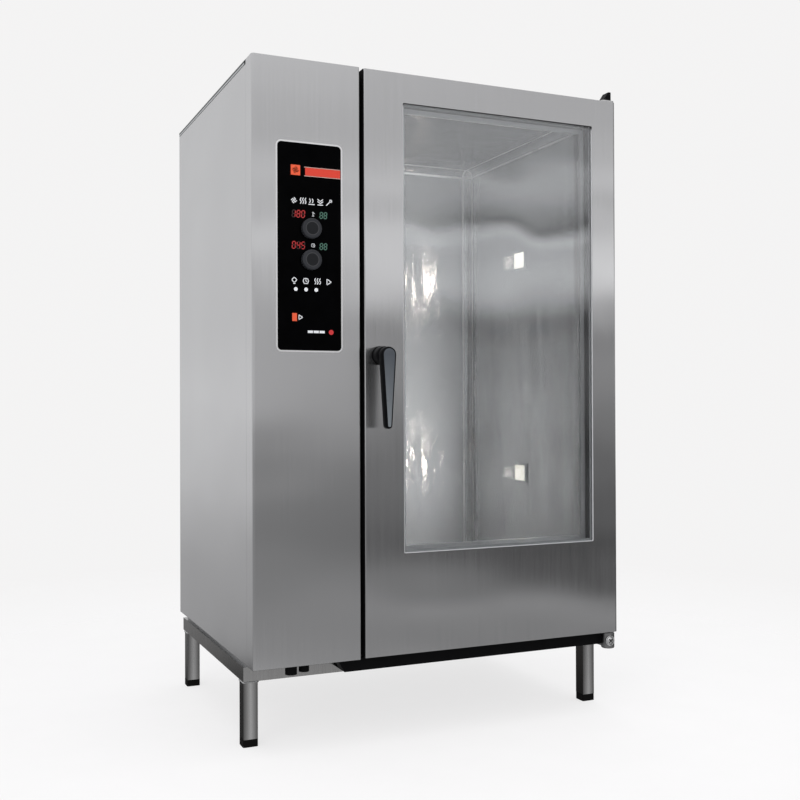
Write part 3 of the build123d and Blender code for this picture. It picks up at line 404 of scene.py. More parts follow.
# ---------------------------------------------------------------- plastics, glass and the rest
def moulded(name, colour, roughness, texture=0.12, contrast=0.25, pebbles=1400.0, sheen=0.5):
    """Moulded plastic or rubber: a fine pebbled skin, with dust and rubbed places."""
    material, tree, shader = new_material(name)
    pebble = even_noise(tree, pebbles, 2.0)
    dust = even_noise(tree, 18.0, 6.0, 0.65)
    worn = shade(colour, 1 + contrast, 0.001)
    tree.links.new(mix_colours(tree, rise(tree, dust), colour, worn), shader.inputs["Base Color"])
    rough = to_range(tree, dust, roughness * 0.85, min(1, roughness * 1.2))
    tree.links.new(rough, shader.inputs["Roughness"])
    shader.inputs["Specular IOR Level"].default_value = sheen
    add_bump(tree, shader, pebble, texture, 0.0004)
    return material


def glazing_silicone(name):
    return moulded(name, (0.55, 0.555, 0.56), 0.5, 0.05, 0.1, 500.0)


def sealed_edge():
    """Clear glazing silicone, in shade along the top of the window."""
    material = glazing_silicone("pane_seal")
    tree = material.node_tree
    z = split_axes(tree, coordinates(tree))[2]
    paint_over(material, rise(tree, z, SEAL_HIGH.z - 0.03, SEAL_HIGH.z - 0.02), (0.02, 0.02, 0.02))
    return material


def knob_plastic(name):
    """Dark knob: a lighter ribbed ring round a dished, darker face, with a painted highlight round the
    dish's rim.
    """
    material = moulded(name, (0.020, 0.021, 0.024), 0.4, 0.1, sheen=0.2)
    tree = material.node_tree
    centred = vector_maths(tree, "SUBTRACT", coordinates(tree, "Generated"), (0.5, 0.5, 0.5))
    radius = vector_maths(tree, "LENGTH", vector_maths(tree, "MULTIPLY", centred, (1, 0, 1)))
    paint_over(material, to_range(tree, radius, 1, 0, 0.30, 0.34), (0.0085, 0.009, 0.0105))
    # A painted highlight round the rim of the dish.
    paint_over(material, near(tree, radius, 0.325, 0.022), (0.05, 0.05, 0.053))
    return material


def window_glass(name, tint, mirror):
    """A clear pane that mirrors more at a glancing angle; thin films of dust catch the light."""
    material, tree, shader = new_material(name)
    shader.inputs["Base Color"].default_value = (0.95, 0.96, 0.98, 1)
    shader.inputs["Metallic"].default_value = 1.0
    film = stretched_noise(tree, (1, 1, 0.6), 4.5, 6.0, 0.6)
    tree.links.new(to_range(tree, film, 0.02, 0.07), shader.inputs["Roughness"])
    add_bump(tree, shader, even_noise(tree, 3.0, 1.0), 1.0, 0.003)
    clear = tree.nodes.new("ShaderNodeBsdfTransparent")
    clear.inputs["Color"].default_value = (*tint, 1)
    facing = tree.nodes.new("ShaderNodeLayerWeight")
    facing.inputs["Blend"].default_value = 0.35
    share = maths(tree, "ADD", maths(tree, "MULTIPLY", facing.outputs["Fresnel"], 0.8), mirror)
    pane = mix_shaders(tree, share, clear.outputs["BSDF"], shader.outputs["BSDF"])
    tree.links.new(pane, tree.nodes["Material Output"].inputs["Surface"])
    return material


def black_glass():
    """Printed control glass: deep black, glossy, with faint finger marks."""
    material, tree, shader = new_material("panel_glass_black")
    marks = even_noise(tree, 26.0, 7.0, 0.7)
    tint = mix_colours(tree, rise(tree, marks), (0.0004, 0.0004, 0.0005), (0.0011, 0.0011, 0.0013))
    tree.links.new(tint, shader.inputs["Base Color"])
    tree.links.new(to_range(tree, marks, 0.06, 0.2), shader.inputs["Roughness"])
    shader.inputs["Specular IOR Level"].default_value = 0.015
    return material


def ink(name, colour, glow=0.0):
    """Screen-printed ink, or a lit segment when glow is set. A small glow on a printed ink is a painted
    glow.
    """
    material, tree, shader = new_material(name)
    grain = even_noise(tree, 900.0, 3.0)
    tint = mix_colours(tree, rise(tree, grain), shade(colour, 0.86), shade(colour, 1.1, 0.01))
    tree.links.new(tint, shader.inputs["Base Color"])
    tree.links.new(to_range(tree, grain, 0.35, 0.55), shader.inputs["Roughness"])
    if glow > 0:
        shader.inputs["Emission Color"].default_value = (*colour, 1)
        shader.inputs["Emission Strength"].default_value = glow
    return material


def lamp_glass():
    """Frosted lamp cover that glows softly."""
    material, tree, shader = new_material("lamp_cover_glass")
    frost = even_noise(tree, 300.0)
    tint = mix_colours(tree, rise(tree, frost), (0.80, 0.79, 0.74), (0.95, 0.94, 0.90))
    tree.links.new(tint, shader.inputs["Base Color"])
    tree.links.new(to_range(tree, frost, 0.15, 0.3), shader.inputs["Roughness"])
    shader.inputs["Emission Color"].default_value = (1.0, 0.95, 0.85, 1)
    shader.inputs["Emission Strength"].default_value = 1.0
    add_bump(tree, shader, frost, 0.3, 0.001)
    return material


def mineral_wool():
    """Matted yellow-brown fibres."""
    material, tree, shader = new_material("mineral_wool")
    fibres = stretched_noise(tree, (1, 0.1, 1), 420.0, 8.0, 0.7)
    matted = weighted(tree, fibres, 0.6, even_noise(tree, 22.0, 5.0))
    tint = mix_colours(tree, rise(tree, matted), (0.30, 0.24, 0.12), (0.66, 0.58, 0.38))
    tree.links.new(tint, shader.inputs["Base Color"])
    shader.inputs["Roughness"].default_value = 0.95
    add_bump(tree, shader, matted, 0.8, 0.004)
    return material


def circuit_board():
    """Green board with fine copper tracks under its lacquer."""
    material, tree, shader = new_material("circuit_board_green")
    tracks = tree.nodes.new("ShaderNodeTexBrick")
    tracks.inputs["Scale"].default_value = 160.0
    tracks.inputs["Color1"].default_value = (0.01, 0.10, 0.045, 1)
    tracks.inputs["Color2"].default_value = (0.012, 0.13, 0.06, 1)
    tracks.inputs["Mortar"].default_value = (0.05, 0.26, 0.10, 1)
    tree.links.new(coordinates(tree), tracks.inputs["Vector"])
    tree.links.new(tracks.outputs["Color"], shader.inputs["Base Color"])
    tree.links.new(to_range(tree, tracks.outputs["Fac"], 0.25, 0.45, 0, 1), shader.inputs["Roughness"])
    add_bump(tree, shader, tracks.outputs["Fac"], 0.3, 0.0002)
    return material


# ---------------------------------------------------------------- which material goes where
MATERIALS = {
    "brushed_stainless": brushed_metal("brushed_stainless", STEEL, 0.185),
    "galvanised_sheet": polished_metal("plain_sheet", SHEET, 0.36, contrast=0.06),
    "bright_stainless": cavity_metal(),
    "frame_tube": brushed_metal("frame_tube_steel", (0.55, 0.55, 0.55), 0.24, 0.8, 0.05, 0.08),
    "foot_plastic": moulded("foot_plastic_black", (0.0032, 0.003, 0.0028), 0.6, sheen=0.06),
    # On the drip gutter under the door this black is painted shade: the gutter stands in deep shade there.
    "black_plastic": moulded("black_plastic", (0.0022, 0.0022, 0.0025), 0.45, sheen=0.06),
    "lever_grey": moulded("lever_body_black", (0.0018, 0.0019, 0.0024), 0.4, 0.08, sheen=0.07),
    "black_rubber": moulded("silicone_rubber_black", (0.003, 0.003, 0.0033), 0.75, 0.05, 0.5, 500.0, 0.06),
    "door_glass": window_glass("door_glass_clear", (0.965, 0.972, 0.972), 0.095),
    "inner_door_glass": window_glass("inner_glass_clear", (0.97, 0.975, 0.975), 0.05),
    "panel_glass": black_glass(),
    "satin_steel": polished_metal("satin_steel", PLAIN_STEEL, 0.26),
    "machined_steel": polished_metal("machined_steel", (0.68, 0.68, 0.68), 0.18),
    "insulation_wool": mineral_wool(),
    "circuit_board": circuit_board(),
    "motor_cast": polished_metal("motor_casting", (0.40, 0.41, 0.43), 0.48, contrast=0.15),
    "element_sheath": polished_metal("heater_sheath", (0.20, 0.17, 0.15), 0.42, contrast=0.3),
    "lamp_glass": lamp_glass(),
    "valve_plastic": moulded("valve_blue_plastic", (0.03, 0.06, 0.20), 0.4),
    "contactor_grey": moulded("contactor_grey_plastic", (0.25, 0.25, 0.245), 0.5),
    "fastener_steel": polished_metal("fastener_steel", (0.60, 0.60, 0.60), 0.24),
}

NODE_MATERIALS = {
    "door_skin": brushed_metal("door_brushed_stainless", STEEL, 0.185, bow=0.06),
    "control_bezel": polished_metal("panel_trim", (0.95, 0.95, 0.95), 0.3),
    # The rails are darker than the legs: partly rougher, dirtier steel, partly painted shade under the
    # casing.
    "frame_rails": tube_metal("rail_steel", (0.46, 0.455, 0.45), (0.15, 0.145, 0.14)),
    "frame_legs": tube_metal("leg_steel", (0.62, 0.615, 0.61), (0.045, 0.042, 0.04), 0.75),
    # The knuckle's steel is painted dark, as shade.
    "lower_hinge_bracket": polished_metal("hinge_knuckle_shaded_steel", (0.34, 0.34, 0.34), 0.34, contrast=0.3),
    "door_inner_frame": brushed_metal("door_liner_sheet", PALE_STEEL, 0.24, 0.8),
    "cavity_front_frame": brushed_metal("mouth_frame_sheet", PALE_STEEL, 0.24, 0.8),
    "fan_baffle": brushed_metal("baffle_sheet", STEEL, 0.26, 0.8),
    "trolley_guides": polished_metal("guide_steel", PLAIN_STEEL, 0.3),
    "inner_glass_frame": polished_metal("pane_channel", (0.86, 0.86, 0.86), 0.42, metallic=0.35),
    "door_glass_seal": sealed_edge(),
    "knob_upper": knob_plastic("knob_upper_plastic"),
    "knob_lower": knob_plastic("knob_lower_plastic"),
    "top_cover": edged_sheet(),
}


def dress_nodes():
    """Gives every CAD node its own material, or else its slot's."""
    for part in frame["record"]["subparts"]:
        worn = frame["nodes"][part["node"]].data.materials
        worn.clear()
        worn.append(NODE_MATERIALS.get(part["node"]) or MATERIALS[part["material_slot"]])


# ---------------------------------------------------------------- handle
LEVER_TOP_R = 0.0215
LEVER_TIP_R = 0.0095
LEVER_THICK = 0.027
HUB_R = 0.024
LEVER_AXIS_X = middle("handle_lever").x
LEVER_AXIS_Z = LEVER_HIGH.z - HUB_R
LEVER_TIP_Z = LEVER_LOW.z + LEVER_TIP_R


def plate_grey():
    """Satin grey of the lever's front plate, lighter towards its tip."""
    material = moulded("lever_plate_grey", (0.045, 0.052, 0.062), 0.30, 0.05, 0.15)
    tree = material.node_tree
    z = split_axes(tree, coordinates(tree))[2]
    paint_over(material, to_range(tree, z, 1, 0, LEVER_TIP_Z, LEVER_AXIS_Z), (0.15, 0.165, 0.175))
    return material


def lever_outline(inset, steps=14):
    """Outline round the lever's two ends, moved in by inset, as (x, z) points."""
    tilt = math.asin((LEVER_TOP_R - LEVER_TIP_R) / (LEVER_AXIS_Z - LEVER_TIP_Z))
    ends = ((LEVER_AXIS_Z, LEVER_TOP_R, -tilt, math.pi + tilt),
            (LEVER_TIP_Z, LEVER_TIP_R, math.pi + tilt, 2 * math.pi - tilt))
    points = []
    for z, radius, start, stop in ends:
        for i in range(steps + 1):
            turn = start + (stop - start) * i / steps
            reach = radius - inset
            points.append((LEVER_AXIS_X + reach * math.cos(turn), z + reach * math.sin(turn)))
    return points


def lever():
    """Lever with softly rounded edges, standing for the CAD lever, and its grey front plate."""
    front = LEVER_LOW.y
    back = front + LEVER_THICK
    body = [(front + 0.0016, 0.0052), (front + 0.0008, 0.0046), (front + 0.0008, 0.0042),
            (front + 0.0019, 0.0022), (front + 0.0042, 0.0007), (front + 0.0075, 0.0),
            (back - 0.004, 0.0), (back - 0.0015, 0.0008), (back, 0.0028)]
    hub = [(back - 0.001, 0.0205), (back + 0.003, 0.0228), (back + 0.006, 0.0236), (back + 0.009, HUB_R),
           (LEVER_HIGH.y - 0.002, HUB_R), (LEVER_HIGH.y, 0.0225)]
    bm = bmesh.new()
    stack(bm, [(y, lever_outline(inset)) for y, inset in body])
    stack(bm, [(y, circle_points(LEVER_AXIS_X, LEVER_AXIS_Z, radius, 48)) for y, radius in hub])
    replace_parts(new_piece("lever_body", bm, "handle", "lever_grey"), "handle_lever")
    plate = [(front + 0.0024, 0.0040), (front + 0.0017, 0.0043), (front + 0.0011, 0.0052),
             (front + 0.0006, 0.0064), (front + 0.0002, 0.0078), (front, 0.0092)]
    bm = bmesh.new()
    stack(bm, [(y, lever_outline(inset)) for y, inset in plate])
    new_piece("lever_front_plate", bm, "handle", "lever_grey", plate_grey())


# ---------------------------------------------------------------- control panel's print
# Places on the panel are measured to the right and up from the glass's lower left corner.
INK_BACK = GLASS_LOW.y
INK_FRONT = INK_BACK - 0.00025
SEGMENTS = {"0": "abcdef", "1": "bc", "4": "fgbc", "5": "afgcd", "8": "abcdefg"}
SEGMENT_ENDS = {"a": ((0, 2), (1, 2)), "b": ((1, 2), (1, 1)), "c": ((1, 1), (1, 0)), "d": ((0, 0), (1, 0)),
                "e": ((0, 1), (0, 0)), "f": ((0, 2), (0, 1)), "g": ((0, 1), (1, 1))}
DISPLAY_ROWS = (("180", 0.352, "heat"), ("045", 0.269, "clock"))
DIGIT_HEIGHT = 0.018
SMALL_DIGIT_HEIGHT = 0.016
ICON_SIZE = 0.0095

# Strokes of each pictogram, in a square from -1 to 1.
ICONS = {
    "fan": [[(-0.8, 0), (-0.3, 0.5), (0, 0)], [(0.8, 0), (0.3, -0.5), (0, 0)],
            [(0, 0.8), (0.5, 0.3), (0, 0)], [(0, -0.8), (-0.5, -0.3), (0, 0)]],
    "steam": [[(-0.7, -0.8), (-0.4, -0.2), (-0.8, 0.3), (-0.5, 0.9)],
              [(0, -0.8), (0.3, -0.2), (-0.1, 0.3), (0.2, 0.9)],
              [(0.7, -0.8), (1, -0.2), (0.6, 0.3), (0.9, 0.9)]],
    "mixed": [[(-0.9, -0.8), (0.9, -0.8)], [(-0.6, -0.4), (-0.3, 0.2), (-0.6, 0.8)],
              [(0.2, -0.4), (0.5, 0.2), (0.2, 0.8)]],
    "warm": [[(-0.8, 0.8), (0, 0.2), (0.8, 0.8)], [(-0.8, 0.2), (0, -0.4), (0.8, 0.2)],
             [(-0.8, -0.8), (0.8, -0.8)]],
    "probe": [[(-0.8, -0.8), (0.3, 0.3)], [(0.3, 0.3), (0.8, 0.2), (0.8, 0.8), (0.2, 0.8), (0.3, 0.3)]],
    "clock": [[(0, 0.5), (0, 0), (0.4, -0.2)],
              [(-0.8, 0), (-0.5, 0.7), (0.5, 0.7), (0.8, 0), (0.5, -0.7), (-0.5, -0.7), (-0.8, 0)]],
    "heat": [[(0, -0.8), (0, 0.8)], [(-0.35, 0.8), (0.35, 0.8)], [(-0.5, -0.8), (0.5, -0.8)],
             [(0.35, 0.3), (0.8, 0.3)]],
    "bulb": [[(-0.3, -0.8), (0.3, -0.8)],
             [(-0.3, -0.4), (-0.7, 0.3), (0, 0.9), (0.7, 0.3), (0.3, -0.4), (-0.3, -0.4)]],
    "start": [[(-0.5, 0.8), (0.8, 0), (-0.5, -0.8), (-0.5, 0.8)]],
}


def panel_place(right, up):
    return GLASS_LOW.x + right, GLASS_LOW.z + up


def add_digits(bm, text, right, up, height, lit=True):
    """Seven-segment digits; with lit False, the segments that stay dark."""
    for place, digit in enumerate(text):
        x, z = panel_place(right + place * height * 0.72, up)
        for name, ends in SEGMENT_ENDS.items():
            if (name in SEGMENTS[digit]) != lit:
                continue
            start, end = [Vector((x + (0.46 * across + 0.04 * rows) * height, z + rows * height / 2))
                          for across, rows in ends]
            gap = (end - start) * 0.12
            stroke(bm, start + gap, end - gap, height * 0.13, INK_FRONT, INK_BACK)


def add_icon(bm, name, right, up, size=ICON_SIZE):
    x, z = panel_place(right, up)
    for line in ICONS[name]:
        points = [(x + across * size, z + rise_by * size) for across, rise_by in line]
        for start, end in zip(points, points[1:]):
            stroke(bm, start, end, size * 0.24, INK_FRONT, INK_BACK)


def add_disc(bm, right, up, radius):
    outline = circle_points(*panel_place(right, up), radius)
    stack(bm, [(INK_FRONT, outline), (INK_BACK, outline)])


def add_bar(bm, right, up, width, height):
    x, z = panel_place(right, up)
    outline = [(x, z), (x + width, z), (x + width, z + height), (x, z + height)]
    stack(bm, [(INK_FRONT, outline), (INK_BACK, outline)])


def add_displays(meshes):
    """Two rows of digits, each with its small pictogram and a smaller pair of digits."""
    for text, up, icon in DISPLAY_ROWS:
        add_digits(meshes["lit_red"], text, 0.040, up, DIGIT_HEIGHT)
        add_digits(meshes["dim_red"], text, 0.040, up, DIGIT_HEIGHT, lit=False)
        add_digits(meshes["lit_green"], "88", 0.1175, up + 0.001, SMALL_DIGIT_HEIGHT)
        add_icon(meshes["white"], icon, 0.0985, up + 0.0105, 0.0062)


def add_pictograms(meshes):
    """The row of programs, the row of functions and the three dots under it."""
    for place, name in enumerate(("fan", "steam", "mixed", "warm", "probe")):
        add_icon(meshes["white"], name, 0.0455 + 0.0245 * place, 0.396)
    for place, name in enumerate(("bulb", "clock", "steam", "start")):
        add_icon(meshes["white"], name, 0.046 + 0.032 * place, 0.184)
    for place in range(3):
        add_disc(meshes["white"], 0.050 + 0.0285 * place, 0.1615, 0.0052)


def add_head(meshes):
    """Orange square with a fan, and a red bar between two pale lines."""
    add_bar(meshes["orange"], 0.037, 0.463, 0.026, 0.027)
    add_icon(meshes["white"], "fan", 0.050, 0.4765, 0.011)
    add_bar(meshes["red_bar"], 0.077, 0.464, 0.099, 0.021)
    for edge in (0.4622, 0.4856):
        add_bar(meshes["pale"], 0.074, edge, 0.102, 0.0012)


def add_foot(meshes):
    """Start key, three plain bars and a red light."""
    add_bar(meshes["orange"], 0.040, 0.077, 0.013, 0.021)
    add_icon(meshes["white"], "start", 0.0625, 0.0875, 0.008)
    for place in range(3):
        add_bar(meshes["white"], 0.083 + 0.0165 * place, 0.0465, 0.0145, 0.0065)
    add_disc(meshes["red_dot"], 0.149, 0.0495, 0.0068)


def panel_graphics():
    """Displays, lights and plain pictograms on the control glass, one piece for each ink."""
    inks = {
        "lit_red": ink("segment_red", (0.34, 0.014, 0.014), 0.3),
        "dim_red": ink("segment_unlit", (0.020, 0.003, 0.003)),
        "lit_green": ink("segment_green", (0.055, 0.14, 0.10), 0.25),
        "white": ink("printed_white", (0.72, 0.73, 0.74)),
        # The printed orange and red get a faint painted glow.
        "orange": ink("printed_orange", (0.66, 0.075, 0.018), 0.08),
        "red_bar": ink("printed_red", (0.56, 0.028, 0.008), 0.08),
        "red_dot": ink("power_light_red", (0.42, 0.012, 0.014), 0.25),
        "pale": ink("printed_pale", (0.70, 0.45, 0.38)),
    }
    meshes = {name: bmesh.new() for name in inks}
    for add_marks in (add_displays, add_pictograms, add_head, add_foot):
        add_marks(meshes)
    for name, bm in meshes.items():
        new_piece("panel_" + name, bm, "casing", "panel_glass", inks[name], smooth=False)


# ---------------------------------------------------------------- door's small parts
BORDER_INSET = 0.015   # from the outer seal's edge to the printed border
BORDER_WIDTH = 0.0085


def door_strips():
    """Black strip along the door's free edge as painted shade in the gap, the pane's printed border and the
    spacer beside the panes.
    """
    face = DOOR_LOW.y
    # The black strip on the door's free edge is painted shade, for the dark gap beside the column.
    bm = bmesh.new()
    strip(bm, (DOOR_LOW.x - 0.0013, face + 0.0035, DOOR_LOW.z + 0.003),
          (DOOR_LOW.x - 0.0001, face + 0.034, DOOR_HIGH.z - 0.001))
    new_piece("door_edge_shade_strip", bm, "door", "black_rubber", smooth=False)
    left, right = SEAL_LOW.x + BORDER_INSET, SEAL_HIGH.x - BORDER_INSET
    low, high = SEAL_LOW.z + BORDER_INSET, SEAL_HIGH.z - BORDER_INSET
    right_bar = right - BORDER_WIDTH * 0.8
    y0, y1 = face + 0.0096, face + 0.0101
    bm = bmesh.new()
    strip(bm, (left, y0, low), (left + BORDER_WIDTH, y1, high))
    strip(bm, (right_bar, y0, low), (right, y1, high))
    strip(bm, (left + BORDER_WIDTH, y0, low), (right_bar, y1, low + BORDER_WIDTH))
    new_piece("pane_border", bm, "door", "door_glass", glazing_silicone("pane_border_print"), smooth=False)
    bm = bmesh.new()
    strip(bm, (right - 0.0016, face + 0.022, low + 0.001), (right - 0.0001, face + 0.040, high - 0.001))
    new_piece("pane_spacer", bm, "door", "black_rubber", smooth=False)


def hinge_adjuster():
    """Domed eccentric screw with a cross recess painted in black as shade, on the lower hinge's knuckle."""
    x = middle("lower_hinge_bracket").x - 0.004
    z = KNUCKLE_LOW.z + 0.024
    seat = KNUCKLE_LOW.y + 0.005
    dome = [(0, 0.0160), (0.0035, 0.0160), (0.0048, 0.0152), (0.0052, 0.0138), (0.0042, 0.0126),
            (0.0042, 0.0110), (0.0058, 0.0100), (0.0068, 0.0080), (0.0074, 0.0050), (0.0076, 0.0010)]
    bm = bmesh.new()
    lathe(bm, (x, seat, z), (0, -1, 0), dome, 40)
    new_piece("hinge_adjuster", bm, "casing", "machined_steel")
    # The black cross on the dome is painted shade, for the shade inside its recess.
    arm, width, depth = 0.006, 0.0022, 0.003
    tip = seat - 0.0078
    bm = bmesh.new()
    stroke(bm, (x - arm, z - arm), (x + arm, z + arm), width, tip, tip + depth)
    stroke(bm, (x - arm, z + arm), (x + arm, z - arm), width, tip - 0.0001, tip + depth - 0.0001)
    new_piece("hinge_adjuster_recess_shade", bm, "casing", "black_rubber", smooth=False)


def hinge_bolts():
    """Two hexagon bolts with washers on the upper hinge's plate."""
    x = middle("upper_hinge_bracket").x
    top = HINGE_HIGH.z
    bm = bmesh.new()
    for y in (HINGE_HIGH.y - 0.045, HINGE_HIGH.y - 0.017):
        lathe(bm, (x, y, top), (0, 0, 1), [(0, 0.0095), (0.0012, 0.0095), (0.0016, 0.009)], 32)
        lathe(bm, (x, y, top + 0.0014), (0, 0, 1), [(0, 0.0075), (0.0052, 0.0075), (0.006, 0.0064)], 6)
    new_piece("hinge_bolts", bm, "casing", "fastener_steel", smooth=False)


# ---------------------------------------------------------------- casing's small parts
def gutter_end():
    """Black strip between the gutter's end and the lower hinge, as painted shade under the door."""
    bm = bmesh.new()
    strip(bm, (GUTTER_HIGH.x + 0.0002, GUTTER_LOW.y + 0.001, GUTTER_LOW.z),
          (KNUCKLE_LOW.x - 0.0004, GUTTER_LOW.y + 0.040, GUTTER_HIGH.z + 0.0015))
    new_piece("gutter_end_shade_strip", bm, "casing", "black_rubber", smooth=False)


def vent_collar():
    """Square flange that closes the top cover round the vent."""
    centre = middle("vent_pipe")
    inner, half, thick = 0.0262, 0.031, 0.0016
    bm = bmesh.new()
    spokes = []
    for turn in full_turn(48):
        along_x, along_y = math.cos(turn), math.sin(turn)
        reach = half / max(abs(along_x), abs(along_y))
        section = ((inner, 0.0), (reach, 0.0), (reach - 0.001, thick), (inner + 0.004, thick),
                   (inner, thick * 2.5))
        spokes.append([bm.verts.new((centre.x + r * along_x, centre.y + r * along_y, TOP_HIGH.z + up))
                       for r, up in section])
    for spoke, following in zip(spokes, spokes[1:] + spokes[:1]):
        for i in range(5):
            j = (i + 1) % 5
            bm.faces.new((spoke[i], following[i], following[j], spoke[j]))
    new_piece("vent_collar", bm, "casing", "galvanised_sheet")


LOUVRE_ROWS = 12
LOUVRE_PITCH = 0.022
LOUVRE_DROP = 0.4445   # from the back sheet's top down to the lowest hood
LOUVRE_LEFT, LOUVRE_RIGHT = BACK_LOW.x + 0.030, BACK_LOW.x + 0.230
# Each hood's section as (out, up) points, and how much of it stands at each x.
HOOD_SECTION = ((0.0, 0.009), (0.0022, 0.0086), (0.0042, 0.0060), (0.0046, -0.0035), (0.0038, -0.0035),
                (0.0, 0.0065))
HOOD_ENDS = ((LOUVRE_LEFT - 0.004, 0.05), (LOUVRE_LEFT, 0.85), (LOUVRE_LEFT + 0.004, 1.0),
             (LOUVRE_RIGHT - 0.004, 1.0), (LOUVRE_RIGHT, 0.85), (LOUVRE_RIGHT + 0.004, 0.05))


def louvre_hoods():
    """Pressed hoods over the back panel's cooling slots."""
    bm = bmesh.new()
    for row in range(LOUVRE_ROWS):
        z = BACK_HIGH.z - LOUVRE_DROP + LOUVRE_PITCH * row
        add_loops(bm, [[(x, BACK_HIGH.y + out * share, z + up * (1 + share) / 2) for out, up in HOOD_SECTION]
                       for x, share in HOOD_ENDS])
    new_piece("back_louvre_hoods", bm, "casing", "galvanised_sheet")


BEAD_STEPS = 12
BEAD_R = 0.0021
BEAD_RIPPLE = 0.0005


def weld_bead(bm, start, end):
    """A rippled round bead between two points."""
    across = (end - start).normalized().cross(Vector((0, 0, 1)))
    loops = []
    for i in range(BEAD_STEPS + 1):
        centre = start.lerp(end, i / BEAD_STEPS)
        radius = BEAD_R + BEAD_RIPPLE * math.sin(i * 2.4)
        loops.append([centre + across * radius * math.cos(t) + Vector((0, 0, radius * math.sin(t)))
                      for t in full_turn(8)])
    add_loops(bm, loops)


def weld_beads():
    """Weld round the top of each leg, under the rails."""
    half = TUBE_HALF + 0.0005
    z = LEGS_HIGH.z - 0.0012
    bm = bmesh.new()
    for x in (LEGS_LOW.x + TUBE_HALF, LEGS_HIGH.x - TUBE_HALF):
        for y in (LEGS_LOW.y + TUBE_HALF, LEGS_HIGH.y - TUBE_HALF):
            corners = [Vector((x + half * side, y + half * end, z))
                       for side, end in ((1, 1), (-1, 1), (-1, -1), (1, -1))]
            for start, stop in zip(corners, corners[1:] + corners[:1]):
                weld_bead(bm, start, stop)
    new_piece("leg_weld_beads", bm, "casing", "frame_tube")


# ---------------------------------------------------------------- room, floor and lights
PALE = (0.905, 0.900, 0.900)

# Brightness of the room that a mirror sees, by elevation in degrees.
FRONT_ROOM = (
    (-30, 0.45), (-17, 0.55), (-14, 0.50), (-13, 0.35), (-9.5, 0.32), (-7, 0.30), (-4.6, 0.29),
    (-2.9, 0.37), (-0.9, 0.60), (1.5, 0.65), (3.6, 0.63), (5.8, 0.61), (7.6, 0.61), (8.6, 0.74),
    (9.3, 1.35), (10.0, 0.72), (11.1, 0.61), (12.1, 0.68), (12.9, 1.12), (13.6, 0.56), (15.7, 0.66),
    (17.5, 0.82), (30, 0.88), (90, 0.95))
RIGHT_ROOM = (
    (-30, 0.40), (-17, 0.50), (-14, 0.45), (-13, 0.24), (-11.3, 0.28), (-10.3, 0.66), (-9.7, 0.16),
    (-8.6, 0.02), (-7.4, 0.06), (-6, 0.14), (-4, 0.16), (-2, 0.11), (0.4, 0.24), (3.0, 0.26),
    (4.7, 0.12), (5.6, 0.50), (6.8, 1.10), (8.4, 0.90), (9.1, 1.30), (9.9, 0.32), (11.0, 0.80),
    (12.1, 1.00), (13.0, 0.62), (16, 0.62), (19, 0.64), (35, 0.82), (90, 0.95))
BACK_ROOM = (
    (-30, 0.12), (-14, 0.10), (-13.2, 0.36), (-12.4, 0.44), (-8.2, 0.50), (-5.5, 0.62), (-3.9, 0.72),
    (0.4, 0.83), (4.7, 0.77), (9, 0.79), (12, 0.78), (16, 0.78), (35, 0.85), (90, 0.95))


def room_ramp(tree, height, stops):
    ramp = tree.nodes.new("ShaderNodeValToRGB")
    tree.links.new(height, ramp.inputs["Fac"])
    elements = ramp.color_ramp.elements
    while len(elements) < len(stops):
        elements.new(0.5)
    for element, (elevation, value) in zip(elements, stops):
        element.position = (math.sin(math.radians(elevation)) + 1) / 2
        element.color = (value, value, value * 1.012, 1)
    return ramp.outputs["Color"]


def background(tree, colour, strength):
    """Plain light from all round; its colour and its strength may each be a socket."""
    node = tree.nodes.new("ShaderNodeBackground")
    if isinstance(colour, tuple):
        node.inputs["Color"].default_value = (*colour, 1)
        node.inputs["Strength"].default_value = strength
    else:
        tree.links.new(colour, node.inputs["Color"])
        tree.links.new(strength, node.inputs["Strength"])
    return node.outputs["Background"]


def mirrored_room(tree):
    """Room seen in the metal: bands to the front, the front right and the back, dim at the far right."""
    x, y, z = split_axes(tree, coordinates(tree, "Generated"))
    height = rise(tree, z, -1, 1)
    turn = maths(tree, "ARCTAN2", x, maths(tree, "MULTIPLY", y, -1))
    front, right, back = [room_ramp(tree, height, stops) for stops in (FRONT_ROOM, RIGHT_ROOM, BACK_ROOM)]
    ahead = mix_colours(tree, rise(tree, turn, 0.36, 0.50), front, right)
    around = mix_colours(tree, rise(tree, y, -0.2, 0.2), ahead, back)
    dim = maths(tree, "MULTIPLY", rise(tree, turn, 1.02, 1.22), to_range(tree, turn, 1, 0, 2.1, 2.4))
    eye_level = maths(tree, "MULTIPLY", near(tree, z, 0.03, 0.12), to_range(tree, turn, 0, 0.5, 0.60, 0.74))
    strength = maths(tree, "ADD", to_range(tree, dim, 1.0, 0.42, 0, 1), eye_level)
    return background(tree, around, strength)


def world_light():
    """Pale room for the camera, a soft one for diffuse light and a banded one for mirrored rays."""
    world = bpy.data.worlds.new("studio")
    bpy.context.scene.world = world
    world.use_nodes = True
    tree = world.node_tree
    tree.nodes.clear()
    path = tree.nodes.new("ShaderNodeLightPath")
    soft = background(tree, (0.95, 0.96, 1.0), 0.85)
    lit = mix_shaders(tree, path.outputs["Is Glossy Ray"], soft, mirrored_room(tree))
    seen = mix_shaders(tree, path.outputs["Is Camera Ray"], lit, background(tree, PALE, 1.0))
    tree.links.new(seen, tree.nodes.new("ShaderNodeOutputWorld").inputs["Surface"])


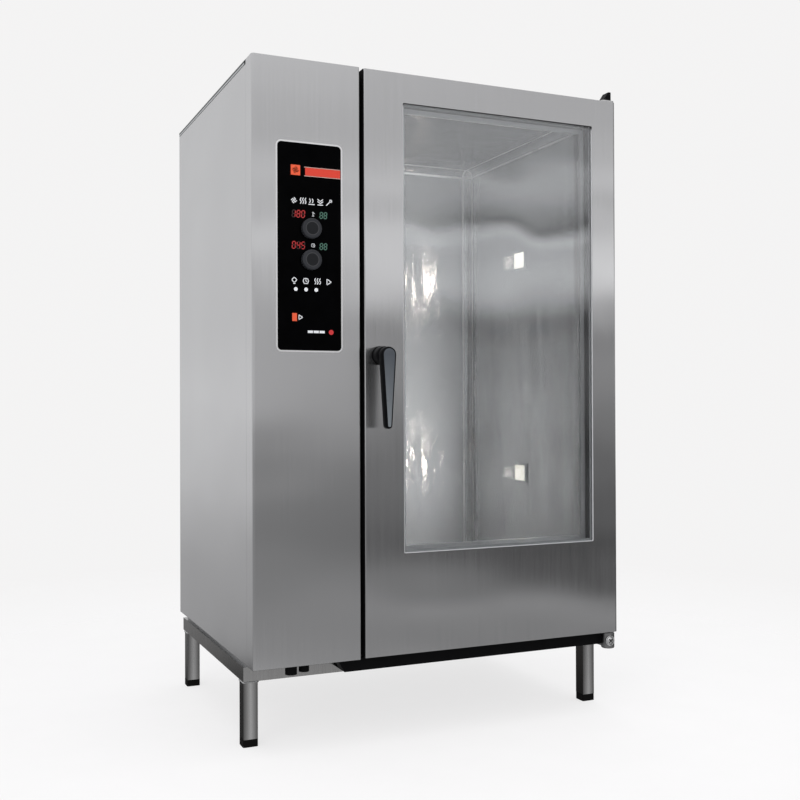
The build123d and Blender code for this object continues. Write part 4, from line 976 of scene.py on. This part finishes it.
def floor_paint():
    """Pale paint that fades out into the room."""
    material, tree, shader = new_material("studio_floor_paint")
    speck = even_noise(tree, 6.0)
    tint = mix_colours(tree, rise(tree, speck), (0.20, 0.198, 0.198), (0.21, 0.208, 0.208))
    tree.links.new(tint, shader.inputs["Base Color"])
    shader.inputs["Emission Color"].default_value = (*PALE, 1)
    shader.inputs["Emission Strength"].default_value = 0.80
    shader.inputs["Roughness"].default_value = 0.9
    shader.inputs["Specular IOR Level"].default_value = 0.1
    clear = tree.nodes.new("ShaderNodeBsdfTransparent")
    fade = rise(tree, vector_maths(tree, "LENGTH", coordinates(tree)), 1.0, 3.0)
    faded = mix_shaders(tree, fade, shader.outputs["BSDF"], clear.outputs["BSDF"])
    tree.links.new(faded, tree.nodes["Material Output"].inputs["Surface"])
    return material


def floor():
    bm = bmesh.new()
    bmesh.ops.create_circle(bm, cap_ends=True, radius=6.0, segments=96)
    piece = in_scene("studio_floor", mesh_from("studio_floor", bm))
    piece.location.z = -0.0002
    piece.data.materials.append(floor_paint())
    piece.visible_glossy = False


def soft_box(name, place, aim, size, power, glossy=True):
    light = bpy.data.lights.new(name, "AREA")
    light.shape = "RECTANGLE"
    light.size, light.size_y = size
    light.energy = power
    lamp = in_scene(name, light)
    lamp.location = place
    lamp.rotation_euler = (Vector(aim) - Vector(place)).to_track_quat("-Z", "Y").to_euler()
    lamp.visible_glossy = glossy
    return lamp


def cavity_lamp(fan, power):
    """Light of one oven lamp, level with a fan: a soft part, and a small warm one for highlights."""
    centre = middle(fan)
    aim = (0, centre.y, centre.z)
    height = round(centre.z * 1000)
    front = LENS_LOW.x - 0.007
    soft_box("cavity_lamp_%d" % height, (front - 0.002, centre.y, centre.z), aim, (0.06, 0.05), power, False)
    spark = soft_box("lamp_spark_%d" % height, (front, centre.y, centre.z), aim, (0.05, 0.04), 0.3)
    spark.data.color = (1.0, 0.86, 0.76)
    spark.visible_diffuse = False


def lights():
    cavity_lamp("fan_impeller_lower", 8.5)
    cavity_lamp("fan_impeller_upper", 7.5)
    soft_box("overhead_box", (0.4, -0.6, 4.2), (0, 0, 0.9), (4.0, 4.0), 90, False)
    soft_box("front_left_box", (-3.4, -3.2, 2.6), (0, 0, 1.0), (2.4, 2.4), 60, False)


# ---------------------------------------------------------------- camera
CAMERA_PLACE = (-1.3205, -3.0601, 0.9178)
CAMERA_YAW = math.radians(23.858)
CAMERA_PITCH = math.radians(0.375)
CAMERA_ROLL = math.radians(-0.196)
FOCAL_LENGTH = 47.263
SENSOR_WIDTH = 36.0


def camera():
    """Camera at the height of the door's handle, in front of the left corner."""
    level = math.cos(CAMERA_PITCH)
    ahead = Vector((math.sin(CAMERA_YAW) * level, math.cos(CAMERA_YAW) * level, math.sin(CAMERA_PITCH)))
    right = Vector((math.cos(CAMERA_YAW), -math.sin(CAMERA_YAW), 0))
    up = right.cross(ahead)
    rolled_right = right * math.cos(CAMERA_ROLL) + up * math.sin(CAMERA_ROLL)
    rolled_up = up * math.cos(CAMERA_ROLL) - right * math.sin(CAMERA_ROLL)
    view = in_scene("camera", bpy.data.cameras.new("camera"))
    view.data.sensor_width = SENSOR_WIDTH
    view.data.lens = FOCAL_LENGTH
    turn = Matrix((rolled_right, rolled_up, -ahead)).transposed()
    view.matrix_world = Matrix.Translation(CAMERA_PLACE) @ turn.to_4x4()
    bpy.context.scene.camera = view


# ---------------------------------------------------------------- the scene
camera()
world_light()
floor()
lights()
dress_nodes()
lever()
panel_graphics()
door_strips()
hinge_adjuster()
gutter_end()
vent_collar()
louvre_hoods()
hinge_bolts()
weld_beads()
bpy.context.scene.view_settings.view_transform = "Standard"
bpy.context.scene.view_settings.look = "None"
